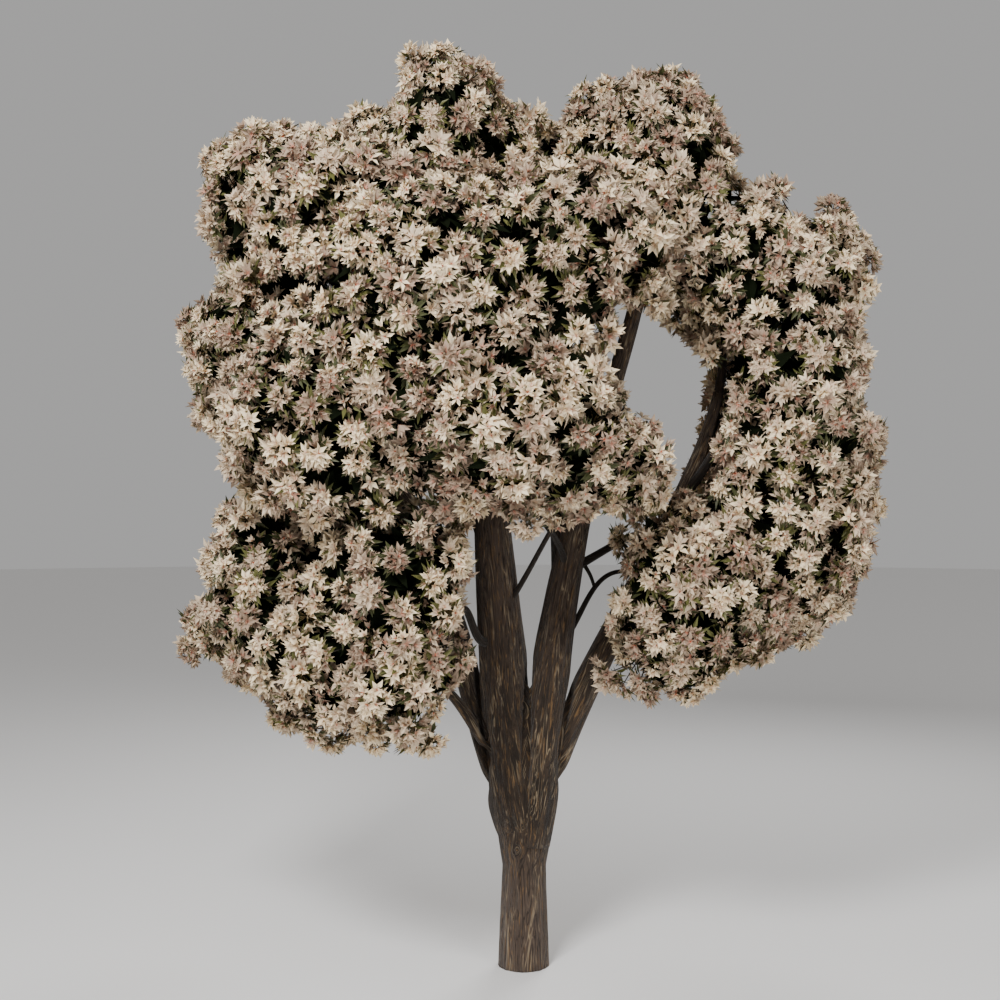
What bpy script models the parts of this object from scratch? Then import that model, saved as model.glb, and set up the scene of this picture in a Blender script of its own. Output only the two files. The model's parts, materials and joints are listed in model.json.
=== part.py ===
"""Cherry tree in full blossom.

A short trunk stands on a flat cut at the ground and forks at chest height into
six leaning stems.  Lesser boughs leave the stems, and each one ends at its own
mass of blossom.  Every mass keeps to a space of its own: its named ellipsoid,
cut by flat planes half-way to its neighbours and beside the limbs that pass.
Metres, +Z up, origin on the ground at the middle of the trunk's foot.
"""

import math
from collections import namedtuple

import bmesh
import bpy
import numpy as np

# ---------------------------------------------------------------- main sizes
SEED = 4107
GAP = 0.0003               # clear gap where one solid rests on another
MERGE = 0.00001            # points nearer than this are one
STRIP = 0.006              # half the clear strip between two masses
LIMB_STRIP = 0.012         # clear strip between a mass and a passing limb
LIMB_STEPS = 61            # places along a limb where it is kept clear
NEAR = 0.40                # neighbours further off than this don't bound a mass

FOOT_RADIUS = 0.177        # trunk at the ground
WAIST_RADIUS = 0.151       # thinnest place of the trunk
WAIST_HEIGHT = 0.70
FOOT_STEP = 0.13           # height of the first ring above the ground
FORK_SPREAD = 0.165        # growth of the radius per metre above the waist, along X
FORK_DEPTH = 0.080         # the same along Y
SHAFT_TOP = 1.08           # the shaft ends hidden among the stems
SHAFT_SIDES = 12
SHAFT_RINGS = 8
SHAFT_CAP = 0.12           # last step of the shaft, where it closes
SHAFT_CLOSE = 0.65         # its top ring as a share of the waist
TRUNK_LEAN = 0.012         # sideways drift of the shaft at its top
STUB_START = 0.70          # share of a stem's radius where it leaves the shaft
STUB_SWELL = 0.07          # share of the stem over which it swells to full
STUB_RINGS = 5
PULL = 0.30                # how far a bough's end is drawn towards its mass's middle
SLEEVE_GAP = GAP * 1.15    # keeps the gap on the flats of a many-sided bar

CORE_SHARE = 0.82          # core's reach as a share of its mass
CORE_LUMPS = 0.10          # unevenness of the core
ENTRY_DEPTH = 0.86         # how far out on its mass a bough ends
TWIGS = 9                  # twigs of each mass, one blossom cluster each
TWIG_RADIUS = 0.011
CLUSTER_RADIUS = 0.250     # blossom cluster, tip to middle
CLUSTER_NOTCH = 0.50       # radius between two points of the cluster's star
CLUSTER_POINTS = 5
CLUSTER_DOME = 0.065       # how far the middle stands out
CLUSTER_DROOP = 0.20       # how far the points bend back, per metre of radius
CLUSTER_BACK = 0.060       # from the cluster's middle back to its twig
CLUSTER_REACH = 0.96       # middle of a cluster as a share of its mass
LEAF_LENGTH = 0.24
LEAF_WIDTH = 0.085
LEAF_THICK = 0.012
LEAF_REACH = 0.74          # root of a leaf as a share of its mass
LEAF_EVERY = 3             # one leaf to this many clusters
TWIG_ROOT = 0.40           # inner end of a twig as a share of its mass
STEM_LEAD = 0.03           # straight start of a mass's stem
STEM_SIDES = 6
STEM_SHARE = 0.45          # how far the stem runs towards the middle of its mass
NUDGE = 0.10               # unevenness of the spread of the twigs
TRIES = 6                  # smaller and smaller tries before one is skipped

Mass = namedtuple("Mass", "name centre half")
Limb = namedtuple("Limb", "name parent root leave mass entry arrive radii taper sides rings")

# name, centre, half-sizes
MASSES = [
    Mass("blossom_top_left", (-0.50, 0.00, 5.84), (0.54, 0.74, 0.63)),
    Mass("blossom_top_right", (0.89, 0.00, 5.60), (0.61, 0.78, 0.70)),
    Mass("blossom_upper_left", (-1.83, 0.05, 5.30), (0.41, 0.80, 0.58)),
    Mass("blossom_left_shoulder", (-1.22, -0.35, 5.22), (0.58, 0.70, 0.58)),
    Mass("blossom_left", (-1.95, 0.00, 4.26), (0.48, 0.86, 0.62)),
    Mass("blossom_front_upper", (-0.60, -1.15, 4.61), (0.66, 0.64, 0.66)),
    Mass("blossom_front_left", (-1.27, -0.95, 3.78), (0.68, 0.70, 0.68)),
    Mass("blossom_front", (-0.24, -1.35, 3.72), (0.58, 0.58, 0.53)),
    Mass("blossom_front_right", (0.44, -0.85, 3.57), (0.50, 0.62, 0.51)),
    Mass("blossom_front_top", (0.33, -0.95, 4.86), (0.62, 0.66, 0.54)),
    Mass("blossom_lower_left", (-1.87, 0.10, 2.60), (0.49, 0.88, 0.68)),
    Mass("blossom_lower_left_front", (-1.34, -0.35, 2.12), (0.48, 0.70, 0.60)),
    Mass("blossom_lower_front", (-0.78, -0.85, 2.43), (0.50, 0.66, 0.80)),
    Mass("blossom_right_upper", (1.74, 0.00, 4.84), (0.74, 0.86, 0.60)),
    Mass("blossom_right_front", (1.83, -0.50, 3.88), (0.58, 0.70, 0.64)),
    Mass("blossom_right_back", (1.99, 0.70, 3.78), (0.66, 0.78, 0.88)),
    Mass("blossom_right_low", (1.96, 0.05, 2.96), (0.53, 0.82, 0.64)),
    Mass("blossom_lower_right", (1.08, -0.35, 2.49), (0.63, 0.72, 0.70)),
    Mass("blossom_back_top", (-0.01, 0.95, 5.40), (1.10, 0.80, 0.80)),
    Mass("blossom_back_left", (-1.55, 1.05, 4.50), (0.92, 0.86, 0.96)),
    Mass("blossom_back", (-0.30, 1.45, 4.10), (0.90, 0.72, 0.80)),
    Mass("blossom_back_low_left", (-1.45, 1.00, 2.70), (0.84, 0.82, 0.86)),
    Mass("blossom_back_low_right", (1.73, 1.05, 2.66), (0.78, 0.78, 0.72)),
]

# A limb with a number for its root leaves its parent at that share of its run.
LIMBS = [
    # the six stems that rise from the trunk
    Limb("stem_left", None, (0.018, 0.022, 0.85), (-0.26, 0.00, 1.53),
         "blossom_top_left", (0.05, 0.0, -1.0), (-0.30, 0.0, 1.63), (0.227, 0.028), 1.0, 10, 9),
    Limb("stem_right", None, (0.050, -0.032, 0.85), (0.255, 0.00, 2.88),
         "blossom_top_right", (-0.08, 0.0, -1.0), (0.075, 0.0, 0.87), (0.188, 0.052), 2.65, 10, 9),
    Limb("bough_right", None, (0.052, 0.01, 1.00), (0.267, 0.02, 1.031),
         "blossom_right_upper", (-0.55, 0.05, -0.84), (-0.134, 0.0, 0.812), (0.131, 0.020), 1.05, 10, 8),
    Limb("bough_left", None, (-0.050, 0.05, 1.00), (-0.46, 0.06, 0.93),
         "blossom_left", (0.72, 0.25, -0.65), (-1.17, 0.0, 0.41), (0.104, 0.036), 0.6, 8, 7),
    Limb("bough_back", None, (-0.02, 0.06, 1.00), (-0.11, 0.10, 1.10),
         "blossom_back", (0.10, -0.62, -0.78), (-0.06, 0.45, 0.75), (0.112, 0.042), 0.9, 8, 7),
    Limb("bough_low_left", None, (-0.09, 0.00, 1.30), (-0.255, -0.02, 0.285),
         "blossom_lower_left_front", (0.95, 0.28, -0.10), (-0.445, -0.10, -0.095), (0.062, 0.019),
         1.35, 8, 4),
    # boughs that leave the left stem
    Limb("bough_lower_front", "stem_left", 0.335, (-0.245, -0.211, -0.290),
         "blossom_lower_front", (0.62, 0.75, -0.05), (-0.183, -0.171, -0.398), (0.032, 0.022), 1.0, 6, 4),
    Limb("bough_front_right", "stem_left", 0.359, (0.187, -0.10, 0.252),
         "blossom_front_right", (-0.40, 0.40, -0.83), (0.140, -0.155, 0.208), (0.020, 0.015), 1.0, 6, 5),
    Limb("bough_upper_left", "stem_left", 0.435, (-0.14, 0.09, 0.75),
         "blossom_upper_left", (0.62, 0.0, -0.75), (-0.45, 0.0, 0.42), (0.070, 0.030), 0.9, 8, 7),
    Limb("bough_front_left", "stem_left", 0.52, (-0.08, -0.22, 0.16),
         "blossom_front_left", (0.62, 0.72, -0.20), None, (0.048, 0.028), 1.0, 6, 4),
    Limb("bough_front_upper", "stem_left", 0.60, (-0.03, -0.18, 0.22),
         "blossom_front_upper", (0.25, 0.80, -0.52), None, (0.044, 0.026), 1.0, 6, 4),
    Limb("bough_left_shoulder", "stem_left", 0.68, (-0.14, -0.03, 0.24),
         "blossom_left_shoulder", (0.66, 0.30, -0.62), None, (0.044, 0.026), 1.0, 6, 4),
    # boughs that leave the right stem
    Limb("bough_front", "stem_right", 0.276, (-0.024, -0.22, 0.335),
         "blossom_front", (0.44, 0.55, -0.71), (0.046, -0.30, 0.186), (0.022, 0.017), 1.0, 6, 5),
    Limb("bough_lower_right", "stem_right", 0.28, (0.291, 0.00, 0.143),
         "blossom_lower_right", (-0.55, 0.40, 0.72), (-0.096, -0.097, -0.193), (0.028, 0.022), 1.0, 6, 5),
    Limb("twig_right", "stem_right", 0.182, (0.208, -0.008, 0.161),
         "blossom_lower_right", (-0.72, 0.54, 0.43), (0.252, -0.005, 0.007), (0.022, 0.015), 1.0, 6, 6),
    Limb("bough_back_top", "stem_right", 0.26, (-0.06, 0.06, 0.60),
         "blossom_back_top", (0.10, -0.52, -0.84), None, (0.062, 0.032), 1.0, 8, 6),
    Limb("bough_front_top", "stem_right", 0.43, (-0.02, -0.16, 0.30),
         "blossom_front_top", (0.10, 0.80, -0.58), None, (0.044, 0.026), 1.0, 6, 4),
    # boughs that leave the right bough
    Limb("bough_back_low_right", "bough_right", 0.375, (0.10, 0.22, 0.10),
         "blossom_back_low_right", (-0.78, -0.55, -0.05), None, (0.046, 0.028), 1.0, 6, 4),
    Limb("bough_right_low", "bough_right", 0.47, (0.26, 0.10, 0.10),
         "blossom_right_low", (-0.92, 0.30, 0.10), None, (0.046, 0.026), 1.0, 6, 5),
    Limb("bough_right_front", "bough_right", 0.645, (0.14, -0.06, 0.08),
         "blossom_right_front", (-0.86, 0.30, -0.38), None, (0.036, 0.024), 1.0, 6, 4),
    Limb("bough_right_back", "bough_right", 0.75, (0.12, 0.10, 0.14),
         "blossom_right_back", (-0.80, -0.45, 0.10), None, (0.034, 0.024), 1.0, 6, 4),
    # boughs that leave the left bough
    Limb("bough_back_low_left", "bough_left", 0.44, (-0.12, 0.22, 0.10),
         "blossom_back_low_left", (0.78, -0.58, -0.05), None, (0.048, 0.028), 1.0, 6, 4),
    Limb("bough_lower_left", "bough_left", 0.58, (-0.28, 0.02, 0.10),
         "blossom_lower_left", (0.88, 0.05, 0.30), None, (0.044, 0.026), 1.0, 6, 5),
    Limb("bough_back_left", "bough_left", 0.775, (-0.06, 0.20, 0.22),
         "blossom_back_left", (0.40, -0.60, -0.66), None, (0.040, 0.028), 1.0, 6, 4),
]

SOCKET_HEIGHT = {          # where each stem parts from the trunk
    "stem_left": 2.22,
    "stem_right": 2.22,
    "bough_right": 2.22,
    "bough_left": 2.22,
    "bough_back": 2.22,
    "bough_low_left": 1.84,
}

BARK = ((0.085, 0.052, 0.032, 1.0), 0.85)
BLOSSOM = ((0.62, 0.46, 0.42, 1.0), 0.7)


# ---------------------------------------------------------------- small tools
def unit(vector):
    vector = np.asarray(vector, float)
    return vector / np.linalg.norm(vector)


def side_frame(axis):
    """Two directions square to the axis and to each other."""
    axis = unit(axis)
    helper = np.array((0.0, 1.0, 0.0)) if abs(axis[1]) < 0.8 else np.array((1.0, 0.0, 0.0))
    u = unit(np.cross(helper, axis))
    return u, np.cross(axis, u)


def make_material(name, look):
    colour, roughness = look
    material = bpy.data.materials.new(name)
    material.use_nodes = True
    shader = material.node_tree.nodes["Principled BSDF"]
    shader.inputs["Base Color"].default_value = colour
    shader.inputs["Roughness"].default_value = roughness
    shader.inputs["Metallic"].default_value = 0.0
    return material


def make_object(name, points, faces):
    mesh = bpy.data.meshes.new(name)
    mesh.from_pydata([tuple(p) for p in points], [], [tuple(f) for f in faces])
    mesh.update()
    piece = bpy.data.objects.new(name, mesh)
    bpy.context.scene.collection.objects.link(piece)
    return piece


def remove_object(piece):
    mesh = piece.data
    bpy.data.objects.remove(piece, do_unlink=True)
    bpy.data.meshes.remove(mesh)


# ---------------------------------------------------------------- bars
def bar_faces(rings, sides):
    """Faces of a closed bar: a flat cut at each end and a wall of four-sided faces."""
    faces = [tuple(reversed(range(sides)))]
    for k in range(rings - 1):
        low = k * sides
        high = low + sides
        for s in range(sides):
            n = (s + 1) % sides
            faces.append((low + s, low + n, high + n, high + s))
    last = (rings - 1) * sides
    faces.append(tuple(range(last, last + sides)))
    return faces


def bar(centres, radii, axes, sides):
    """Closed round bar whose rings stand square to the given axes."""
    u = side_frame(axes[0])[0]
    points = []
    for centre, radius, axis in zip(centres, radii, axes):
        u = unit(u - axis * np.dot(u, axis))
        v = np.cross(axis, u)
        for s in range(sides):
            angle = 2.0 * math.pi * s / sides
            points.append(centre + radius * (math.cos(angle) * u + math.sin(angle) * v))
    return points, bar_faces(len(centres), sides)


def level_bar(heights, drifts, radii, sides):
    """Upright oval bar whose rings lie level, so that its foot is a flat cut."""
    points = []
    for height, drift, (wide, deep) in zip(heights, drifts, radii):
        for s in range(sides):
            angle = 2.0 * math.pi * (s + 0.5) / sides
            points.append((drift + wide * math.cos(angle), deep * math.sin(angle), height))
    return points, bar_faces(len(heights), sides)


# ---------------------------------------------------------------- runs of the limbs
class Run:
    """The curved centre line of one limb and its taper."""

    def __init__(self, limb, root, tip, arrive):
        self.limb = limb
        self.corners = np.array([root, root + np.asarray(limb.leave, float), tip - arrive, tip])

    def point(self, t):
        a, b, c, d = self.corners
        s = 1.0 - t
        return s ** 3 * a + 3.0 * s * s * t * b + 3.0 * s * t * t * c + t ** 3 * d

    def tangent(self, t):
        a, b, c, d = self.corners
        s = 1.0 - t
        return unit(s * s * (b - a) + 2.0 * s * t * (c - b) + t * t * (d - c))

    def radius(self, t):
        thick, thin = self.limb.radii
        return thin + (thick - thin) * (1.0 - t) ** self.limb.taper

    def bar(self, shares, radii, first_shift=0.0):
        """The limb as a closed bar, its first ring moved on along the run."""
        axes = [self.tangent(t) for t in shares]
        centres = [self.point(t) for t in shares]
        centres[0] = centres[0] + axes[0] * first_shift
        return bar(centres, radii, axes, self.limb.sides)

    def bough_shares(self):
        """Places of the rings of the limb's own solid."""
        if self.limb.parent is None:
            socket = self.share_at_height(SOCKET_HEIGHT[self.limb.name])
            return np.linspace(socket, 1.0, self.limb.rings)
        return np.linspace(0.0, 1.0, self.limb.rings + 1)

    def share_at_height(self, height):
        shares = np.linspace(0.0, 1.0, 401)
        heights = np.array([self.point(t)[2] for t in shares])
        return float(shares[int(np.argmin(abs(heights - height)))])


def entry_point(mass, direction):
    """Point just inside a mass, in the given direction from its middle."""
    along = unit(direction)
    return np.array(mass.centre) + ENTRY_DEPTH * np.array(mass.half) * along


def lay_out_runs():
    masses = {mass.name: mass for mass in MASSES}
    runs = {}
    for limb in LIMBS:
        mass = masses[limb.mass]
        tip = entry_point(mass, limb.entry)
        if limb.parent is None:
            root = np.array(limb.root, float)
        else:
            root = runs[limb.parent].point(limb.root)
        if limb.arrive is None:
            inward = unit(np.array(mass.centre) - tip)
            arrive = inward * np.linalg.norm(tip - root) * PULL
        else:
            arrive = np.array(limb.arrive, float)
        runs[limb.name] = Run(limb, root, tip, arrive)
    return runs


# ---------------------------------------------------------------- wood
def shaft_radius(height, spread):
    if height < WAIST_HEIGHT:
        flare = (FOOT_RADIUS - WAIST_RADIUS) * (1.0 - height / WAIST_HEIGHT)
        return WAIST_RADIUS + flare
    return WAIST_RADIUS + spread * (height - WAIST_HEIGHT)


def build_trunk(runs):
    """The shaft from its flat foot, fused with the roots of the six stems."""
    heights = np.concatenate((
        (0.0, FOOT_STEP),
        np.linspace(FOOT_STEP * 3.0, SHAFT_TOP - SHAFT_CAP, SHAFT_RINGS - 3),
        (SHAFT_TOP,),
    ))
    drifts = TRUNK_LEAN * (heights / SHAFT_TOP) ** 2
    radii = [(shaft_radius(h, FORK_SPREAD), shaft_radius(h, FORK_DEPTH)) for h in heights]
    radii[-1] = (WAIST_RADIUS * SHAFT_CLOSE, WAIST_RADIUS * SHAFT_CLOSE)
    pieces = [make_object("shaft", *level_bar(heights, drifts, radii, SHAFT_SIDES))]
    for name, height in SOCKET_HEIGHT.items():
        run = runs[name]
        shares = np.linspace(0.0, run.share_at_height(height), STUB_RINGS)
        swell = STUB_START + (1.0 - STUB_START) * np.minimum(shares / STUB_SWELL, 1.0)
        radii = [run.radius(t) * s for t, s in zip(shares, swell)]
        pieces.append(make_object(name + "_root", *run.bar(shares, radii)))
    return fuse("trunk", pieces)


def build_limb(limb, runs):
    """One tapering limb, seated a gap clear of the trunk's stub or of its parent."""
    run = runs[limb.name]
    shares = run.bough_shares()
    radii = [run.radius(t) for t in shares]
    if limb.parent is None:
        return make_object(limb.name, *run.bar(shares, radii, GAP))
    piece = make_object(limb.name, *run.bar(shares, radii))
    parent = runs[limb.parent]
    around = parent.bough_shares()
    wide = [parent.radius(t) + SLEEVE_GAP for t in around]
    sleeve = make_object("sleeve", *parent.bar(around, wide))
    return cut_away(piece, sleeve)


# ---------------------------------------------------------------- fusing
def apply_boolean(target, modifier):
    view = bpy.context.evaluated_depsgraph_get()
    result = bpy.data.meshes.new_from_object(target.evaluated_get(view))
    target.modifiers.remove(modifier)
    old = target.data
    target.data = result
    bpy.data.meshes.remove(old)
    result.name = target.name


def fuse(name, pieces):
    """Union of the first piece with all the others, which are then removed."""
    body = pieces[0]
    body.name = name
    others = bpy.data.collections.new(name + "_parts")
    bpy.context.scene.collection.children.link(others)
    for piece in pieces[1:]:
        bpy.context.scene.collection.objects.unlink(piece)
        others.objects.link(piece)
    modifier = body.modifiers.new("union", "BOOLEAN")
    modifier.operation = "UNION"
    modifier.operand_type = "COLLECTION"
    modifier.collection = others
    modifier.solver = "MANIFOLD"
    apply_boolean(body, modifier)
    for piece in pieces[1:]:
        remove_object(piece)
    bpy.data.collections.remove(others)
    return keep_largest(body)


def cut_away(piece, cutter):
    """Takes the cutter away from the piece; the cutter is then removed."""
    modifier = piece.modifiers.new("cut", "BOOLEAN")
    modifier.operation = "DIFFERENCE"
    modifier.object = cutter
    modifier.solver = "MANIFOLD"
    apply_boolean(piece, modifier)
    remove_object(cutter)
    return keep_largest(piece)


def keep_largest(piece):
    """Drops the loose scraps and the walls of sealed hollows that fusing leaves."""
    bm = bmesh.new()
    bm.from_mesh(piece.data)
    bmesh.ops.remove_doubles(bm, verts=bm.verts, dist=MERGE)
    bmesh.ops.dissolve_degenerate(bm, edges=bm.edges, dist=MERGE)
    bm.verts.ensure_lookup_table()
    seen = set()
    groups = []
    for vert in bm.verts:
        if vert.index in seen:
            continue
        stack = [vert]
        seen.add(vert.index)
        group = []
        while stack:
            v = stack.pop()
            group.append(v)
            for edge in v.link_edges:
                w = edge.other_vert(v)
                if w.index not in seen:
                    seen.add(w.index)
                    stack.append(w)
        groups.append(group)
    groups.sort(key=box_size, reverse=True)
    loose = [v for group in groups[1:] for v in group]
    if loose:
        bmesh.ops.delete(bm, geom=loose, context="VERTS")
    bmesh.ops.triangulate(bm, faces=bm.faces)
    bm.to_mesh(piece.data)
    bm.free()
    return piece


def box_size(group):
    places = np.array([v.co for v in group])
    return float(np.linalg.norm(places.max(0) - places.min(0)))


# ---------------------------------------------------------------- spaces of the masses
def span_along(mass, direction):
    """Distance from a mass's middle to its ellipsoid, along a unit direction."""
    return 1.0 / math.sqrt(sum((d / h) ** 2 for d, h in zip(direction, mass.half)))


def space_planes(mass, runs):
    """Planes (normal, offset) of a mass's space; its middle lies on their plus side."""
    middle = np.array(mass.centre)
    planes = []
    for other in MASSES:
        if other.name == mass.name:
            continue
        apart = np.array(other.centre) - middle
        distance = np.linalg.norm(apart)
        along = apart / distance
        mine = span_along(mass, along)
        theirs = span_along(other, along)
        if distance > max(mass.half) + max(other.half) + NEAR:
            continue
        share = 0.5 * (mine + distance - theirs)
        meet = middle + along * share
        slope = 2.0 * (meet - middle) / np.square(mass.half)
        slope = slope - 2.0 * (meet - np.array(other.centre)) / np.square(other.half)
        normal = -unit(slope)
        planes.append((normal, float(np.dot(normal, meet)) + STRIP))
    for run in runs.values():
        for t in np.linspace(0.0, 1.0, LIMB_STEPS):
            place = run.point(t)
            away = middle - place
            distance = np.linalg.norm(away)
            if distance > max(mass.half) + NEAR:
                continue
            normal = away / distance
            planes.append((normal, float(np.dot(normal, place)) + run.radius(t) + LIMB_STRIP))
    normals = np.array([p[0] for p in planes])
    offsets = np.array([p[1] for p in planes])
    return normals, offsets


class Space:
    """A mass's ellipsoid cut by its planes."""

    def __init__(self, mass, runs):
        self.middle = np.array(mass.centre)
        self.half = np.array(mass.half)
        self.normals, self.offsets = space_planes(mass, runs)

    def reach(self, direction):
        """Distance from the middle to the edge of the space."""
        far = 1.0 / np.linalg.norm(direction / self.half)
        slopes = self.normals @ direction
        depths = self.normals @ self.middle - self.offsets
        cuts = -depths[slopes < -1e-6] / slopes[slopes < -1e-6]
        return float(min(far, cuts.min())) if len(cuts) else float(far)

    def holds(self, points, stretch=1.03):
        points = np.atleast_2d(points)
        if (points @ self.normals.T < self.offsets).any():
            return False
        return bool((np.linalg.norm((points - self.middle) / self.half, axis=1) < stretch).all())


# ---------------------------------------------------------------- blossom
def spread_directions(count, rng):
    """Directions spread evenly over a ball, each nudged a little."""
    k = np.arange(count) + 0.5
    height = 1.0 - 2.0 * k / count
    turn = math.pi * (1.0 + math.sqrt(5.0)) * k + rng.uniform(0.0, 2.0 * math.pi)
    ring = np.sqrt(1.0 - height ** 2)
    ball = np.stack((ring * np.cos(turn), ring * np.sin(turn), height), axis=1)
    ball += rng.normal(0.0, NUDGE, ball.shape)
    return ball / np.linalg.norm(ball, axis=1)[:, None]


def core_shape(space, rng):
    bm = bmesh.new()
    bmesh.ops.create_icosphere(bm, subdivisions=2, radius=1.0)
    for vert in bm.verts:
        direction = unit(vert.co)
        lump = 1.0 + rng.uniform(-CORE_LUMPS, CORE_LUMPS)
        vert.co = space.middle + direction * space.reach(direction) * CORE_SHARE * lump
    points = [tuple(v.co) for v in bm.verts]
    faces = [tuple(v.index for v in f.verts) for f in bm.faces]
    bm.free()
    return points, faces


def cluster_shape(root, middle, facing, radius, rng):
    """Star-shaped head of blossom, low domed, on its own three-sided twig from the root."""
    u, v = side_frame(facing)
    turn = rng.uniform(0.0, 2.0 * math.pi)
    rim = 2 * CLUSTER_POINTS
    points = [middle + facing * CLUSTER_DOME]
    for k in range(rim):
        angle = turn + math.pi * k / CLUSTER_POINTS
        tip = k % 2 == 0
        out = radius * (1.0 if tip else CLUSTER_NOTCH)
        drop = CLUSTER_DROOP * out if tip else 0.0
        points.append(middle + out * (math.cos(angle) * u + math.sin(angle) * v) - facing * drop)
    collar = middle - facing * CLUSTER_BACK
    axis = unit(collar - root)
    for place, width in ((collar, TWIG_RADIUS), (root, TWIG_RADIUS * 1.4)):
        for k in range(3):
            angle = turn + 2.0 * math.pi * k / 3.0
            side = math.cos(angle) * u + math.sin(angle) * v
            side = unit(side - axis * np.dot(side, axis))
            points.append(place + width * side)
    faces = []
    for k in range(rim):
        faces.append((0, 1 + k, 1 + (k + 1) % rim))
    neck = 1 + rim
    nearest = [int(round(k * 3.0 / rim)) % 3 for k in range(rim)]
    for k in range(rim):
        n = (k + 1) % rim
        faces.append((1 + n, 1 + k, neck + nearest[k]))
        if nearest[n] != nearest[k]:
            faces.append((1 + n, neck + nearest[k], neck + nearest[n]))
    for k in range(3):
        n = (k + 1) % 3
        faces.append((neck + n, neck + k, neck + 3 + k, neck + 3 + n))
    faces.append((neck + 5, neck + 4, neck + 3))
    return points, faces


def leaf_shape(root, along, flat, length):
    """Pointed leaf of eight faces."""
    across = unit(np.cross(flat, along))
    flat = np.cross(along, across)
    mid = root + along * length * 0.45
    points = [
        root,
        mid + across * LEAF_WIDTH * 0.5,
        root + along * length,
        mid - across * LEAF_WIDTH * 0.5,
        mid + flat * LEAF_THICK * 0.5,
        mid - flat * LEAF_THICK * 0.5,
    ]
    faces = []
    for k in range(4):
        n = (k + 1) % 4
        faces.append((4, k, n))
        faces.append((5, n, k))
    return points, faces


def flip_if_inside_out(points, faces):
    points = np.asarray(points, float)
    volume = 0.0
    middle = points.mean(0)
    for face in faces:
        a, b, c = (points[k] - middle for k in face[:3])
        volume += float(np.dot(a, np.cross(b, c)))
    if volume < 0.0:
        faces = [tuple(reversed(face)) for face in faces]
    return points, faces


def build_mass(number, mass, limb, runs):
    rng = np.random.default_rng(SEED + number)
    space = Space(mass, runs)
    run = runs[limb.name]
    tip = run.point(1.0) + run.tangent(1.0) * GAP
    tip_radius = run.radius(1.0)
    pieces = [make_object("core", *core_shape(space, rng))]
    # the stem leaves the bough's tip in the bough's own direction
    heading = run.tangent(1.0)
    bend = tip + heading * STEM_LEAD
    end = bend + (space.middle - bend) * STEM_SHARE
    inward = unit(space.middle - bend)
    stem = bar([tip, bend, end], [tip_radius, tip_radius, tip_radius * 0.7],
               [heading, unit(heading + inward), inward], STEM_SIDES)
    pieces.append(make_object("stem", *stem))
    for count, direction in enumerate(spread_directions(TWIGS, rng)):
        far = space.reach(direction)
        facing = unit(direction + 0.5 * unit(direction / space.half ** 2))
        root = space.middle + direction * far * TWIG_ROOT
        size = rng.uniform(0.92, 1.08)
        for _ in range(TRIES):
            share = CLUSTER_REACH * (0.92 + 0.08 * size)
            middle = space.middle + direction * far * share - facing * CLUSTER_DOME * 0.5
            head = cluster_shape(root, middle, facing, CLUSTER_RADIUS * size, rng)
            if space.holds(np.array(head[0]), 1.04):
                pieces.append(make_object("head", *flip_if_inside_out(*head)))
                break
            size *= 0.85
        if count % LEAF_EVERY:
            continue
        # a leaf stands out of the core beside the head
        u, v = side_frame(direction)
        angle = rng.uniform(0.0, 2.0 * math.pi)
        beside = unit(direction + 0.5 * (math.cos(angle) * u + math.sin(angle) * v))
        along = unit(beside + 0.35 * rng.normal(0.0, 1.0, 3))
        foot = space.middle + beside * space.reach(beside) * LEAF_REACH
        leaf = leaf_shape(foot, along, rng.normal(0.0, 1.0, 3), LEAF_LENGTH)
        if space.holds(np.array(leaf[0]), 1.08):
            pieces.append(make_object("leaf", *flip_if_inside_out(*leaf)))
    return fuse(mass.name, pieces)


# ---------------------------------------------------------------- the tree
def finish(piece, look):
    piece.data.materials.clear()
    piece.data.materials.append(make_material(piece.name + "_material", look))


def main():
    for thing in list(bpy.data.objects):
        bpy.data.objects.remove(thing, do_unlink=True)
    runs = lay_out_runs()
    trunk = build_trunk(runs)
    finish(trunk, BARK)
    trunk.data.shade_smooth()
    trunk.data.set_sharp_from_angle(angle=math.radians(50.0))
    for limb in LIMBS:
        piece = build_limb(limb, runs)
        finish(piece, BARK)
        piece.data.shade_smooth()
        piece.data.set_sharp_from_angle(angle=math.radians(50.0))
    carriers = {}
    for limb in LIMBS:
        carriers.setdefault(limb.mass, limb)
    for number, mass in enumerate(MASSES):
        piece = build_mass(number, mass, carriers[mass.name], runs)
        finish(piece, BLOSSOM)


main()
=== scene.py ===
"""Flowering cherry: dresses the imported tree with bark, twigs, blossom and leaves.

The limbs and the spaces of the crown's masses follow the same named sizes and the
same seeded rule as the tree's solids, and are carried on here to finer twigs.
"""

import json
import math
from collections import namedtuple

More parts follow.
